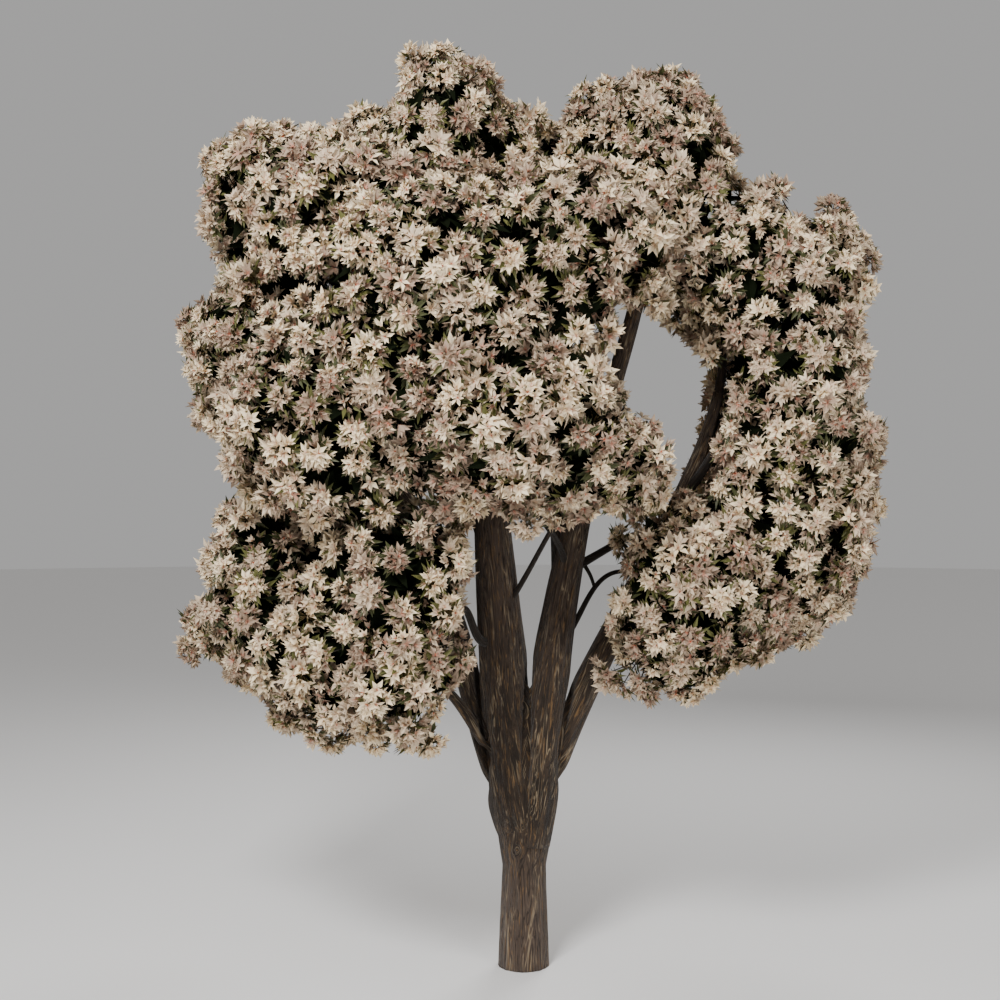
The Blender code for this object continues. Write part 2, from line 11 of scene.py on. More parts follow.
import bpy
import numpy as np
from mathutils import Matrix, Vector

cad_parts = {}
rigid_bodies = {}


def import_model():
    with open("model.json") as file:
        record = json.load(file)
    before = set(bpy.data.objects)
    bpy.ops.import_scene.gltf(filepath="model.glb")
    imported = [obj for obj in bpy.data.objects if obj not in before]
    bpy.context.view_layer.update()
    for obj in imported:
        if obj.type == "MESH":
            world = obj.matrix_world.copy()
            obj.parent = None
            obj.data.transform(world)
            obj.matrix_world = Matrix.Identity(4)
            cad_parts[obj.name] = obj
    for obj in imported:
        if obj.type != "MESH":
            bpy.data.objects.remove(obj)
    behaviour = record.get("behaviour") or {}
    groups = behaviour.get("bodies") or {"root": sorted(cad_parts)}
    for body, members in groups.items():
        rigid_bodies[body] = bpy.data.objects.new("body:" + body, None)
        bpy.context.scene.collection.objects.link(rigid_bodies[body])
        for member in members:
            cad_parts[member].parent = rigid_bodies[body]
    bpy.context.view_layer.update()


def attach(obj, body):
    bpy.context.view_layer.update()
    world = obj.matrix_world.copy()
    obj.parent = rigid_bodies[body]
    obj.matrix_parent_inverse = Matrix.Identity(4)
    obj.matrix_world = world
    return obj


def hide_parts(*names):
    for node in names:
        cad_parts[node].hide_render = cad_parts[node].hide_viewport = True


bl_info = {
    "name": "Cherry Blossom Tree",
    "version": (1, 0, 0),
    "blender": (4, 5, 0),
    "location": "3D View > Sidebar > Cherry",
    "description": "Bark, twigs, blossom, leaves and a plain stage for a flowering cherry",
    "category": "Add Mesh",
}

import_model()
BODY = "root"
TAU = 2.0 * math.pi

# ---------------------------------------------------------------- the tree's plan
SEED = 4107
STRIP = 0.006
LIMB_STRIP = 0.012
LIMB_STEPS = 61
NEAR = 0.40
FOOT_RADIUS = 0.177
WAIST_RADIUS = 0.151
WAIST_HEIGHT = 0.70
FORK_SPREAD = 0.165
FORK_DEPTH = 0.080
SHAFT_TOP = 1.08
SHAFT_CAP = 0.12
SHAFT_CLOSE = 0.65
TRUNK_LEAN = 0.012
# share of its radius that a limb starts with inside the trunk, and where it is full
STEM_STUB = (0.70, 0.07)
BOUGH_STUB = (0.35, 0.13)
PULL = 0.30
ENTRY_DEPTH = 0.86
TWIGS = 9
CORE_POINTS = 42
NUDGE = 0.10
STEM_LEAD = 0.03

Mass = namedtuple("Mass", "name centre half")
Limb = namedtuple("Limb", "name parent root leave mass entry arrive radii taper")

MASSES = [
    Mass("blossom_top_left", (-0.50, 0.00, 5.84), (0.54, 0.74, 0.63)),
    Mass("blossom_top_right", (0.89, 0.00, 5.60), (0.61, 0.78, 0.70)),
    Mass("blossom_upper_left", (-1.83, 0.05, 5.30), (0.41, 0.80, 0.58)),
    Mass("blossom_left_shoulder", (-1.22, -0.35, 5.22), (0.58, 0.70, 0.58)),
    Mass("blossom_left", (-1.95, 0.00, 4.26), (0.48, 0.86, 0.62)),
    Mass("blossom_front_upper", (-0.60, -1.15, 4.61), (0.66, 0.64, 0.66)),
    Mass("blossom_front_left", (-1.27, -0.95, 3.78), (0.68, 0.70, 0.68)),
    Mass("blossom_front", (-0.24, -1.35, 3.72), (0.58, 0.58, 0.53)),
    Mass("blossom_front_right", (0.44, -0.85, 3.57), (0.50, 0.62, 0.51)),
    Mass("blossom_front_top", (0.33, -0.95, 4.86), (0.62, 0.66, 0.54)),
    Mass("blossom_lower_left", (-1.87, 0.10, 2.60), (0.49, 0.88, 0.68)),
    Mass("blossom_lower_left_front", (-1.34, -0.35, 2.12), (0.48, 0.70, 0.60)),
    Mass("blossom_lower_front", (-0.78, -0.85, 2.43), (0.50, 0.66, 0.80)),
    Mass("blossom_right_upper", (1.74, 0.00, 4.84), (0.74, 0.86, 0.60)),
    Mass("blossom_right_front", (1.83, -0.50, 3.88), (0.58, 0.70, 0.64)),
    Mass("blossom_right_back", (1.99, 0.70, 3.78), (0.66, 0.78, 0.88)),
    Mass("blossom_right_low", (1.96, 0.05, 2.96), (0.53, 0.82, 0.64)),
    Mass("blossom_lower_right", (1.08, -0.35, 2.49), (0.63, 0.72, 0.70)),
    Mass("blossom_back_top", (-0.01, 0.95, 5.40), (1.10, 0.80, 0.80)),
    Mass("blossom_back_left", (-1.55, 1.05, 4.50), (0.92, 0.86, 0.96)),
    Mass("blossom_back", (-0.30, 1.45, 4.10), (0.90, 0.72, 0.80)),
    Mass("blossom_back_low_left", (-1.45, 1.00, 2.70), (0.84, 0.82, 0.86)),
    Mass("blossom_back_low_right", (1.73, 1.05, 2.66), (0.78, 0.78, 0.72)),
]

LIMBS = [
    Limb("stem_left", None, (0.018, 0.022, 0.85), (-0.26, 0.00, 1.53),
         "blossom_top_left", (0.05, 0.0, -1.0), (-0.30, 0.0, 1.63), (0.227, 0.028), 1.0),
    Limb("stem_right", None, (0.050, -0.032, 0.85), (0.255, 0.00, 2.88),
         "blossom_top_right", (-0.08, 0.0, -1.0), (0.075, 0.0, 0.87), (0.188, 0.052), 2.65),
    Limb("bough_right", None, (0.052, 0.01, 1.00), (0.267, 0.02, 1.031),
         "blossom_right_upper", (-0.55, 0.05, -0.84), (-0.134, 0.0, 0.812), (0.131, 0.020), 1.05),
    Limb("bough_left", None, (-0.050, 0.05, 1.00), (-0.46, 0.06, 0.93),
         "blossom_left", (0.72, 0.25, -0.65), (-1.17, 0.0, 0.41), (0.104, 0.036), 0.6),
    Limb("bough_back", None, (-0.02, 0.06, 1.00), (-0.11, 0.10, 1.10),
         "blossom_back", (0.10, -0.62, -0.78), (-0.06, 0.45, 0.75), (0.112, 0.042), 0.9),
    Limb("bough_low_left", None, (-0.09, 0.00, 1.30), (-0.255, -0.02, 0.285),
         "blossom_lower_left_front", (0.95, 0.28, -0.10), (-0.445, -0.10, -0.095),
         (0.062, 0.019), 1.35),
    Limb("bough_lower_front", "stem_left", 0.335, (-0.245, -0.211, -0.290),
         "blossom_lower_front", (0.62, 0.75, -0.05), (-0.183, -0.171, -0.398), (0.032, 0.022), 1.0),
    Limb("bough_front_right", "stem_left", 0.359, (0.187, -0.10, 0.252),
         "blossom_front_right", (-0.40, 0.40, -0.83), (0.140, -0.155, 0.208), (0.020, 0.015), 1.0),
    Limb("bough_upper_left", "stem_left", 0.435, (-0.14, 0.09, 0.75),
         "blossom_upper_left", (0.62, 0.0, -0.75), (-0.45, 0.0, 0.42), (0.070, 0.030), 0.9),
    Limb("bough_front_left", "stem_left", 0.52, (-0.08, -0.22, 0.16),
         "blossom_front_left", (0.62, 0.72, -0.20), None, (0.048, 0.028), 1.0),
    Limb("bough_front_upper", "stem_left", 0.60, (-0.03, -0.18, 0.22),
         "blossom_front_upper", (0.25, 0.80, -0.52), None, (0.044, 0.026), 1.0),
    Limb("bough_left_shoulder", "stem_left", 0.68, (-0.14, -0.03, 0.24),
         "blossom_left_shoulder", (0.66, 0.30, -0.62), None, (0.044, 0.026), 1.0),
    Limb("bough_front", "stem_right", 0.276, (-0.024, -0.22, 0.335),
         "blossom_front", (0.44, 0.55, -0.71), (0.046, -0.30, 0.186), (0.022, 0.017), 1.0),
    Limb("bough_lower_right", "stem_right", 0.28, (0.291, 0.00, 0.143),
         "blossom_lower_right", (-0.55, 0.40, 0.72), (-0.096, -0.097, -0.193), (0.028, 0.022), 1.0),
    Limb("twig_right", "stem_right", 0.182, (0.208, -0.008, 0.161),
         "blossom_lower_right", (-0.72, 0.54, 0.43), (0.252, -0.005, 0.007), (0.022, 0.015), 1.0),
    Limb("bough_back_top", "stem_right", 0.26, (-0.06, 0.06, 0.60),
         "blossom_back_top", (0.10, -0.52, -0.84), None, (0.062, 0.032), 1.0),
    Limb("bough_front_top", "stem_right", 0.43, (-0.02, -0.16, 0.30),
         "blossom_front_top", (0.10, 0.80, -0.58), None, (0.044, 0.026), 1.0),
    Limb("bough_back_low_right", "bough_right", 0.375, (0.10, 0.22, 0.10),
         "blossom_back_low_right", (-0.78, -0.55, -0.05), None, (0.046, 0.028), 1.0),
    Limb("bough_right_low", "bough_right", 0.47, (0.26, 0.10, 0.10),
         "blossom_right_low", (-0.92, 0.30, 0.10), None, (0.046, 0.026), 1.0),
    Limb("bough_right_front", "bough_right", 0.645, (0.14, -0.06, 0.08),
         "blossom_right_front", (-0.86, 0.30, -0.38), None, (0.036, 0.024), 1.0),
    Limb("bough_right_back", "bough_right", 0.75, (0.12, 0.10, 0.14),
         "blossom_right_back", (-0.80, -0.45, 0.10), None, (0.034, 0.024), 1.0),
    Limb("bough_back_low_left", "bough_left", 0.44, (-0.12, 0.22, 0.10),
         "blossom_back_low_left", (0.78, -0.58, -0.05), None, (0.048, 0.028), 1.0),
    Limb("bough_lower_left", "bough_left", 0.58, (-0.28, 0.02, 0.10),
         "blossom_lower_left", (0.88, 0.05, 0.30), None, (0.044, 0.026), 1.0),
    Limb("bough_back_left", "bough_left", 0.775, (-0.06, 0.20, 0.22),
         "blossom_back_left", (0.40, -0.60, -0.66), None, (0.040, 0.028), 1.0),
]
# knots in the bark: (middle, radius) for each limb that has one
KNOTS = {
    "trunk": (((-0.045, -0.16, 0.84), 0.026),),
    "stem_left": (((0.030, -0.14, 1.80), 0.036),),
    "bough_right": (((0.165, -0.12, 1.19), 0.024),),
}
# the short twig between the two on the right: shares of their lengths, bow and radii
LINK_SHARES = np.array((0.13, 0.66))
LINK_BOW = 0.012
LINK_RADII = (0.015, -0.004)
MAIN_STEMS = ("stem_left", "stem_right", "bough_right", "bough_left", "bough_back",
              "bough_low_left")


# ---------------------------------------------------------------- arrays and directions
def unit(vectors):
    """Each vector divided by its own length."""
    vectors = np.asarray(vectors, float)
    return vectors / np.maximum(np.linalg.norm(vectors, axis=-1, keepdims=True), 1e-12)


def square_frames(axes):
    """For each axis, two directions square to it: helper x axis, then axis x that."""
    axes = unit(axes)
    helper = np.where(np.abs(axes[..., 1:2]) < 0.8, (0.0, 1.0, 0.0), (1.0, 0.0, 0.0))
    u = unit(np.cross(helper, axes))
    return u, np.cross(axes, u)


def turned(angles, first, second):
    """The first direction turned towards the second: cos(angle) first + sin(angle) second."""
    return np.cos(angles)[..., None] * first + np.sin(angles)[..., None] * second


class Run:
    """A limb's centre line, a cubic curve on four corners, and its taper."""

    def __init__(self, limb, root, tip, arrive):
        self.limb = limb
        self.corners = np.array([root, root + np.asarray(limb.leave, float), tip - arrive, tip])

    def terms(self, t):
        """The four corners, the share t and its rest s = 1 - t."""
        t = np.asarray(t, float)[..., None]
        return *self.corners, t, 1.0 - t

    def points(self, t):
        """s^3 a + 3 s^2 t b + 3 s t^2 c + t^3 d, with s = 1 - t."""
        a, b, c, d, t, s = self.terms(t)
        return s ** 3 * a + 3.0 * s * s * t * b + 3.0 * s * t * t * c + t ** 3 * d

    def tangents(self, t):
        """The curve's own slope, as directions."""
        a, b, c, d, t, s = self.terms(t)
        return unit(s * s * (b - a) + 2.0 * s * t * (c - b) + t * t * (d - c))

    def radii(self, t):
        """Thin end plus the difference times (1 - t) to the power of the taper."""
        thick, thin = self.limb.radii
        return thin + (thick - thin) * (1.0 - np.asarray(t, float)) ** self.limb.taper


def lay_out_runs():
    """Every limb's run, from its parent or the trunk to just inside its mass."""
    masses = {mass.name: mass for mass in MASSES}
    runs = {}
    for limb in LIMBS:
        mass = masses[limb.mass]
        tip = np.array(mass.centre) + ENTRY_DEPTH * np.array(mass.half) * unit(limb.entry)
        if limb.parent is None:
            root = np.array(limb.root, float)
        else:
            root = runs[limb.parent].points(limb.root)
        arrive = limb.arrive
        if arrive is None:
            arrive = unit(np.array(mass.centre) - tip) * np.linalg.norm(tip - root) * PULL
        runs[limb.name] = Run(limb, root, tip, np.asarray(arrive, float))
    return runs


def space_reach(mass, runs, directions):
    """How far a mass's own space reaches from its middle: the nearer of its ellipsoid, which
    is one over the length of the direction divided by the half-sizes, and of every plane
    towards a neighbour or a limb that the direction meets."""
    middle, half = np.array(mass.centre), np.array(mass.half)
    normals, offsets = [], []
    for other in MASSES:
        apart = np.array(other.centre) - middle
        distance = np.linalg.norm(apart)
        if other.name == mass.name or distance > max(half) + max(other.half) + NEAR:
            continue
        along = apart / distance
        mine = 1.0 / np.linalg.norm(along / half)
        theirs = 1.0 / np.linalg.norm(along / np.array(other.half))
        meet = middle + along * 0.5 * (mine + distance - theirs)
        slope = 2.0 * (meet - middle) / np.square(half)
        slope = slope - 2.0 * (meet - np.array(other.centre)) / np.square(other.half)
        normals.append(-unit(slope))
        offsets.append(float(np.dot(normals[-1], meet)) + STRIP)
    steps = np.linspace(0.0, 1.0, LIMB_STEPS)
    for run in runs.values():
        places = run.points(steps)
        away = middle - places
        distance = np.linalg.norm(away, axis=1)
        keep = distance <= max(half) + NEAR
        normal = away[keep] / distance[keep][:, None]
        normals.extend(normal)
        offsets.extend((normal * places[keep]).sum(1) + run.radii(steps)[keep] + LIMB_STRIP)
    normals = np.array(normals)
    slopes = directions @ normals.T
    depths = normals @ middle - np.array(offsets)
    cuts = np.where(slopes < -1e-6, -depths / np.minimum(slopes, -1e-6), np.inf)
    return np.minimum(1.0 / np.linalg.norm(directions / half, axis=1), cuts.min(axis=1))


def spread_directions(count, rng, nudge=NUDGE):
    """Golden-angle spiral over a ball, each direction nudged a little."""
    k = np.arange(count) + 0.5
    height = 1.0 - 2.0 * k / count
    turn = math.pi * (1.0 + math.sqrt(5.0)) * k + rng.uniform(0.0, TAU)
    ring = np.sqrt(1.0 - height ** 2)
    ball = np.stack((ring * np.cos(turn), ring * np.sin(turn), height), axis=1)
    return unit(ball + rng.normal(0.0, nudge, ball.shape))


# ---------------------------------------------------------------- meshes from arrays
def add_object(name, data):
    """An object with its data, linked to the scene."""
    thing = bpy.data.objects.new(name, data)
    bpy.context.scene.collection.objects.link(thing)
    return thing


def make_piece(name, points, faces, material, slot, smooth=False, sides=3):
    """One mesh object from an array of points and one of faces with that many sides."""
    mesh = bpy.data.meshes.new(name)
    mesh.vertices.add(len(points))
    mesh.vertices.foreach_set("co", np.ascontiguousarray(points, np.float32).ravel())
    mesh.loops.add(faces.size)
    mesh.loops.foreach_set("vertex_index", np.ascontiguousarray(faces, np.int32).ravel())
    mesh.polygons.add(len(faces))
    mesh.polygons.foreach_set("loop_start", np.arange(0, faces.size, sides, dtype=np.int32))
    mesh.polygons.foreach_set("use_smooth", np.full(len(faces), smooth))
    mesh.update(calc_edges=True)
    mesh.validate()
    mesh.materials.append(material)
    piece = add_object(name, mesh)
    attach(piece, BODY)
    return piece


def join_blocks(blocks):
    """Stacks (points, faces) blocks into one, shifting each block's face numbers."""
    shift = 0
    points, faces = [], []
    for block_points, block_faces in blocks:
        points.append(block_points)
        faces.append(block_faces + shift)
        shift += len(block_points)
    return np.concatenate(points), np.concatenate(faces)


# roughness of the plain surfaces, and with it the petals' sheen
TWIG_ROUGHNESS = 0.8
STALK_ROUGHNESS = 0.7
PETAL_FINISH = (0.6, 0.05)
STAMEN_ROUGHNESS = 0.6
LEAF_ROUGHNESS = 0.5
DEEP_ROUGHNESS = 0.9
FLOOR_ROUGHNESS = 0.9


def plain_material(name, colour, roughness, sheen=0.0, shine=0.3):
    """A Principled surface of one plain colour, its constants set on its own sockets."""
    material = bpy.data.materials.new(name)
    material.use_nodes = True
    shader = material.node_tree.nodes["Principled BSDF"]
    shader.inputs["Base Color"].default_value = (*colour, 1.0)
    shader.inputs["Roughness"].default_value = roughness
    shader.inputs["Specular IOR Level"].default_value = shine
    shader.inputs["Sheen Weight"].default_value = sheen
    return material


# ---------------------------------------------------------------- bark
# ridges of the bark: (waves round the limb, share of the relief), then how each wanders
RIDGES = ((5, 0.55), (9, 0.45), (17, 0.40), (29, 0.30), (43, 0.22))
RIDGE_MEAN = 0.74
RIDGE_POWER = 0.6
WANDERS = 3
WANDER_PACE = (0.7, 4.5)
WANDER_SIZE = (0.2, 0.9)
LENGTH_SHIFT = 50.0
GRAIN_SHIFT = 9.0
# a knot: its height to its width, its inner rings, and its swelling with a ripple
KNOT_SQUAT = 0.75
KNOT_RINGS = 1.6
KNOT_REACH = 2.5
KNOT_SWELL = 1.1
KNOT_WIDTH = 1.3
KNOT_RIPPLE = 4.2
KNOT_LIFT = 0.3
SEAM_DEPTH = 0.046
SEAM_WIDTH = 0.026
SEAM_STEPS = 160
SEAM_START = 1.12
SEAM_RISE = 0.30
SEAM_MOST = 0.5


def ring_frames(tangents):
    """Directions across a run, turned as little as possible from ring to ring."""
    u = square_frames(tangents[:1])[0][0]
    rows = []
    for axis in tangents:
        u = unit(u - axis * np.dot(u, axis))
        rows.append(u)
    u = np.array(rows)
    return u, np.cross(tangents, u)


def bark_relief(angles, lengths, rng, coarse):
    """Ridges that run along the limb: each is its mean less the size of a sine of the angle
    whose phase wanders with length, so that the furrows are narrow and the ribs broad."""
    relief = np.zeros((len(lengths), len(angles)))
    for waves, share in RIDGES:
        if waves > coarse:
            continue
        wander = rng.uniform(0.0, TAU)
        for _ in range(WANDERS):
            pace = rng.uniform(*WANDER_PACE)
            size = rng.uniform(*WANDER_SIZE)
            wander = wander + size * np.sin(pace * lengths + rng.uniform(0.0, TAU))
        phase = 0.5 * waves * angles[None, :] + wander[:, None]
        relief += share * (RIDGE_MEAN - np.abs(np.sin(phase)) ** RIDGE_POWER)
    return relief


def part_round_knots(knots, centres, u, v, angles, lengths, mean, relief):
    """Fibres part round a knot as water does round a post: across the limb, the grain's
    offset s becomes s (1 - r^2 / d^2) outside the knot's radius r, and d - r rings inside.
    The relief swells in a ripple of the distance d that fades beyond the knot."""
    bent = np.broadcast_to(angles[None, :], relief.shape).copy()
    for place, size in knots:
        away = np.array(place) - centres
        ring = np.linalg.norm(away, axis=1).argmin()
        middle = math.atan2(np.dot(away[ring], v[ring]), np.dot(away[ring], u[ring]))
        across = ((angles[None, :] - middle + math.pi) % TAU - math.pi) * mean
        along = np.broadcast_to((lengths - lengths[ring])[:, None] * KNOT_SQUAT, across.shape)
        apart = np.sqrt(across ** 2 + along ** 2)
        near = np.maximum(apart, 1e-6) / size
        outside = across * (1.0 - 1.0 / np.maximum(near, 1.0) ** 2)
        inside = (near - 1.0) * size * KNOT_RINGS
        offset = np.where(near < 1.0, inside, outside) - across
        bent += offset / mean * np.exp(-np.maximum(near - KNOT_REACH, 0.0))
        ripple = KNOT_LIFT + np.cos(KNOT_RIPPLE * near)
        relief += KNOT_SWELL * np.exp(-0.5 * (near / KNOT_WIDTH) ** 2) * ripple
    return bent


def bark_tube(centres, tangents, radii, sides, rng, depth, coarse, level=False, knots=()):
    """Grid of rings round the centres: radius plus relief, u cos(angle) + v sin(angle).
    Returns points, four-sided faces and the grain coordinate of every point."""
    angles = np.arange(sides) * TAU / sides
    steps = np.linalg.norm(np.diff(centres, axis=0), axis=1)
    lengths = np.concatenate(((0.0,), np.cumsum(steps)))
    if level:
        u = np.tile((1.0, 0.0, 0.0), (len(centres), 1))
        v = np.tile((0.0, 1.0, 0.0), (len(centres), 1))
    else:
        u, v = ring_frames(tangents)
    radii = np.asarray(radii, float)
    if radii.ndim == 1:
        radii = np.stack((radii, radii), axis=1)
    relief = bark_relief(angles, lengths + rng.uniform(0.0, LENGTH_SHIFT), rng, coarse)
    mean = radii.mean(axis=1)[:, None]
    bent = part_round_knots(knots, centres, u, v, angles, lengths, mean, relief)
    grow = 1.0 + depth * relief
    wide = (radii[:, :1] * grow)[..., None]
    deep = (radii[:, 1:] * grow)[..., None]
    points = centres[:, None] + wide * np.cos(angles)[None, :, None] * u[:, None]
    points = points + deep * np.sin(angles)[None, :, None] * v[:, None]
    rings = len(centres)
    low = np.arange(rings - 1)[:, None] * sides + np.arange(sides)[None]
    side = np.roll(low, -1, axis=1)
    faces = np.stack((low, side, side + sides, low + sides), axis=-1).reshape(-1, 4)
    shift = rng.uniform(0.0, GRAIN_SHIFT)
    grain = np.empty((rings, sides, 3))
    grain[..., 0] = mean * np.cos(bent) + shift
    grain[..., 1] = mean * np.sin(bent) + shift
    grain[..., 2] = (lengths + shift)[:, None]
    return points.reshape(-1, 3), faces, grain.reshape(-1, 3)


def sink_seams(points, centres, sides, others):
    """A groove where two limbs meet: each point moves in towards its own centre line by
    the seam's depth times e to the minus (d / width)^2, d being its distance from the
    other limb's surface, and grows from nothing at the fork's height."""
    middle = np.repeat(centres, sides, axis=0)
    shares = np.linspace(0.0, 1.0, SEAM_STEPS)
    for other in others:
        axis, radii = other.points(shares), other.radii(shares)
        away = np.linalg.norm(points[:, None] - axis[None], axis=2)
        nearest = away.argmin(axis=1)
        from_skin = away[np.arange(len(points)), nearest] - radii[nearest]
        own = np.linalg.norm(points - middle, axis=1)[:, None]
        grown = np.clip((points[:, 2] - SEAM_START) / SEAM_RISE, 0.0, 1.0)
        dip = (SEAM_DEPTH * grown * np.exp(-(from_skin / SEAM_WIDTH) ** 2))[:, None]
        points = points + (middle - points) * np.minimum(dip / own, SEAM_MOST)
    return points


def close_ends(points, faces, grain, sides):
    """Adds a middle point to each end ring and fans of folded quads that close it."""
    rings = len(points) // sides
    first = points[:sides].mean(axis=0)
    last = points[-sides:].mean(axis=0)
    n = len(points)
    ring = np.arange(0, sides, 2)
    low = np.stack((np.full(len(ring), n), (ring + 2) % sides, (ring + 1) % sides, ring), axis=1)
    top = (rings - 1) * sides
    high = np.stack((np.full(len(ring), n + 1), top + ring, top + (ring + 1) % sides,
                     top + (ring + 2) % sides), axis=1)
    points = np.concatenate((points, first[None], last[None]))
    grain = np.concatenate((grain, grain[:1], grain[-1:]))
    return points, np.concatenate((faces, low, high)), grain


def closed_tube(centres, tangents, radii, sides, rng, depth, coarse, **more):
    """A bark tube with both of its ends closed."""
    return close_ends(*bark_tube(centres, tangents, radii, sides, rng, depth, coarse, **more),
                      sides)


def shaft_radii(heights):
    """Waist radius plus a fading flare below it and a straight spread above it; over the
    last stretch the square of the way there draws it in under the stems."""
    flare = (FOOT_RADIUS - WAIST_RADIUS) * (1.0 - heights / WAIST_HEIGHT)
    above = np.maximum(heights - WAIST_HEIGHT, 0.0)
    radius = WAIST_RADIUS + np.where(heights < WAIST_HEIGHT, flare, 0.0)
    radii = np.stack((radius + FORK_SPREAD * above, radius + FORK_DEPTH * above), axis=1)
    shut = np.clip((heights - SHAFT_TOP + SHAFT_CAP) / SHAFT_CAP, 0.0, 1.0)[:, None] ** 2
    return radii * (1.0 - shut) + WAIST_RADIUS * SHAFT_CLOSE * shut


def finish_bark(name, blocks, material, nodes):
    """Joins the tubes, adds the grain attribute and hides the parts they replace."""
    points, faces = join_blocks([(b[0], b[1]) for b in blocks])
    grain = np.concatenate([b[2] for b in blocks])
    piece = make_piece(name, points, faces, material, "bark", smooth=True, sides=4)
    layer = piece.data.attributes.new("grain", "FLOAT_VECTOR", "POINT")
    layer.data.foreach_set("vector", np.ascontiguousarray(grain, np.float32).ravel())
    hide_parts(*nodes)
    return piece


# ---------------------------------------------------------------- bark's finish
# noise along the grain: squeeze along it, scale, detail, distortion and shift
BROAD_FIBRES = (0.20, 22.0, 4.0, 0.5, 0.0)
NARROW_FIBRES = (0.085, 70.0, 4.0, 0.9, 3.7)
PATCHES = (0.25, 12.0, 3.0, 0.5, 8.1)
LINE_FIBRES = (0.075, 17.0, 2.5, 1.0, 5.3)
FIBRE_ROUGHNESS = 0.62
LINE_COUNT = 15.0
# the masks of the foot and of the upper stems carry painted light
MASKS = ("Broad", "Streak", "Pale", "Crack", "LitFoot", "Young", "Height")
# where each mask begins and is full; those of the foot and of the upper stems are heights. Both
# carry painted light: the paler foot stands for the lower trunk lit outside the crown's shadow,
# partly weathering, and the paler upper stems for light against the crown's shade, partly younger
# bark
BROAD_BAND = (0.40, 0.60)
STREAK_BAND = (0.55, 0.64)
PALE_BAND = (0.72, 0.95)
PATCH_BAND = (0.47, 0.60)
CRACK_BAND = (0.30, 0.08)
LIT_FOOT_BAND = (1.00, 0.50)
LIT_UPPER_BAND = (1.80, 2.60)
BROAD_HEIGHT = 0.5
LINE_HEIGHT = 0.30


def work_out(tree, operation, *terms):
    """One step of arithmetic on a shader's sockets and on plain numbers."""
    node = tree.nodes.new("ShaderNodeMath")
    node.operation = operation
    for term, where in zip(terms, node.inputs):
        if isinstance(term, float):
            where.default_value = term
        else:
            tree.links.new(term, where)
    return node.outputs[0]


def fibres(tree, grain, squeeze, scale, detail, distortion, shift):
    """Noise on the grain coordinate, drawn out along the grain."""
    mapping = tree.nodes.new("ShaderNodeMapping")
    mapping.inputs["Scale"].default_value = (1.0, 1.0, squeeze)
    mapping.inputs["Location"].default_value = (shift, shift, shift)
    noise = tree.nodes.new("ShaderNodeTexNoise")
    for name, value in (("Scale", scale), ("Detail", detail), ("Roughness", FIBRE_ROUGHNESS),
                        ("Distortion", distortion)):
        noise.inputs[name].default_value = value
    tree.links.new(grain, mapping.inputs["Vector"])
    tree.links.new(mapping.outputs["Vector"], noise.inputs["Vector"])
    return noise.outputs["Fac"]


def band(tree, value, low, high):
    """Nought at the low value, one at the high one, straight between them."""
    ramp = tree.nodes.new("ShaderNodeMapRange")
    ramp.inputs["From Min"].default_value = low
    ramp.inputs["From Max"].default_value = high
    tree.links.new(value, ramp.inputs["Value"])
    return ramp.outputs["Result"]


def fibre_group():
    """Fibres that run along the grain: masks of the broad ribs, the ochre streaks, the pale lines
    and the cracks, of the foot and of the upper stems, which carry painted light (the lower trunk
    lit outside the crown's shadow, partly weathering, and the stems lifted against the crown's
    shade, partly younger bark), and a height.
    The lines are a wave of the noise, up and down between nought and one."""
    tree = bpy.data.node_groups.new("bark_fibres", "ShaderNodeTree")
    for name in MASKS:
        tree.interface.new_socket(name=name, in_out="OUTPUT", socket_type="NodeSocketFloat")
    attribute = tree.nodes.new("ShaderNodeAttribute")
    attribute.attribute_name = "grain"
    grain = attribute.outputs["Vector"]
    broad = fibres(tree, grain, *BROAD_FIBRES)
    narrow = fibres(tree, grain, *NARROW_FIBRES)
    patches = fibres(tree, grain, *PATCHES)
    many = work_out(tree, "MULTIPLY", fibres(tree, grain, *LINE_FIBRES), LINE_COUNT)
    lines = work_out(tree, "PINGPONG", many, 1.0)
    parts = tree.nodes.new("ShaderNodeSeparateXYZ")
    place = tree.nodes.new("ShaderNodeTexCoord")
    tree.links.new(place.outputs["Object"], parts.inputs["Vector"])
    height = work_out(tree, "MULTIPLY_ADD", broad, BROAD_HEIGHT, narrow)
    bands = [band(tree, value, *limits) for value, limits in (
        (broad, BROAD_BAND), (narrow, STREAK_BAND), (lines, PALE_BAND), (lines, CRACK_BAND),
        (parts.outputs["Z"], LIT_FOOT_BAND), (parts.outputs["Z"], LIT_UPPER_BAND))]
    bands[2] = work_out(tree, "MULTIPLY", bands[2], band(tree, patches, *PATCH_BAND))
    bands.append(work_out(tree, "MULTIPLY_ADD", lines, LINE_HEIGHT, height))
    leave = tree.nodes.new("NodeGroupOutput")
    for name, mask in zip(MASKS, bands):
        tree.links.new(mask, leave.inputs[name])
    return tree


def mix_colours(tree, mask, low, high, most=1.0):
    """The low colour where the mask is nought, the high one, up to most, where it is one."""
    mix = tree.nodes.new("ShaderNodeMix")
    mix.data_type = "RGBA"
    tree.links.new(work_out(tree, "MULTIPLY", mask, most), mix.inputs[0])
    for value, where in ((low, mix.inputs[6]), (high, mix.inputs[7])):
        if isinstance(value, tuple):
            where.default_value = (*value, 1.0)
        else:
            tree.links.new(value, where)
    return mix.outputs[2]


# how much of each layer shows at most, from the lowest layer up
# the foot's and the upper stems' layers are painted light, laid on as paler bark
LIT_FOOT_SHARE = 0.55
LIT_UPPER_SHARE = 0.50
STREAK_SHARE = 0.75
PALE_SHARE = 0.80
CRACK_SHARE = 0.85
BARK_FINISH = {"Roughness": 0.82, "Specular IOR Level": 0.25, "Sheen Weight": 0.12,
               "Sheen Roughness": 0.45}
BARK_BUMP = 0.012


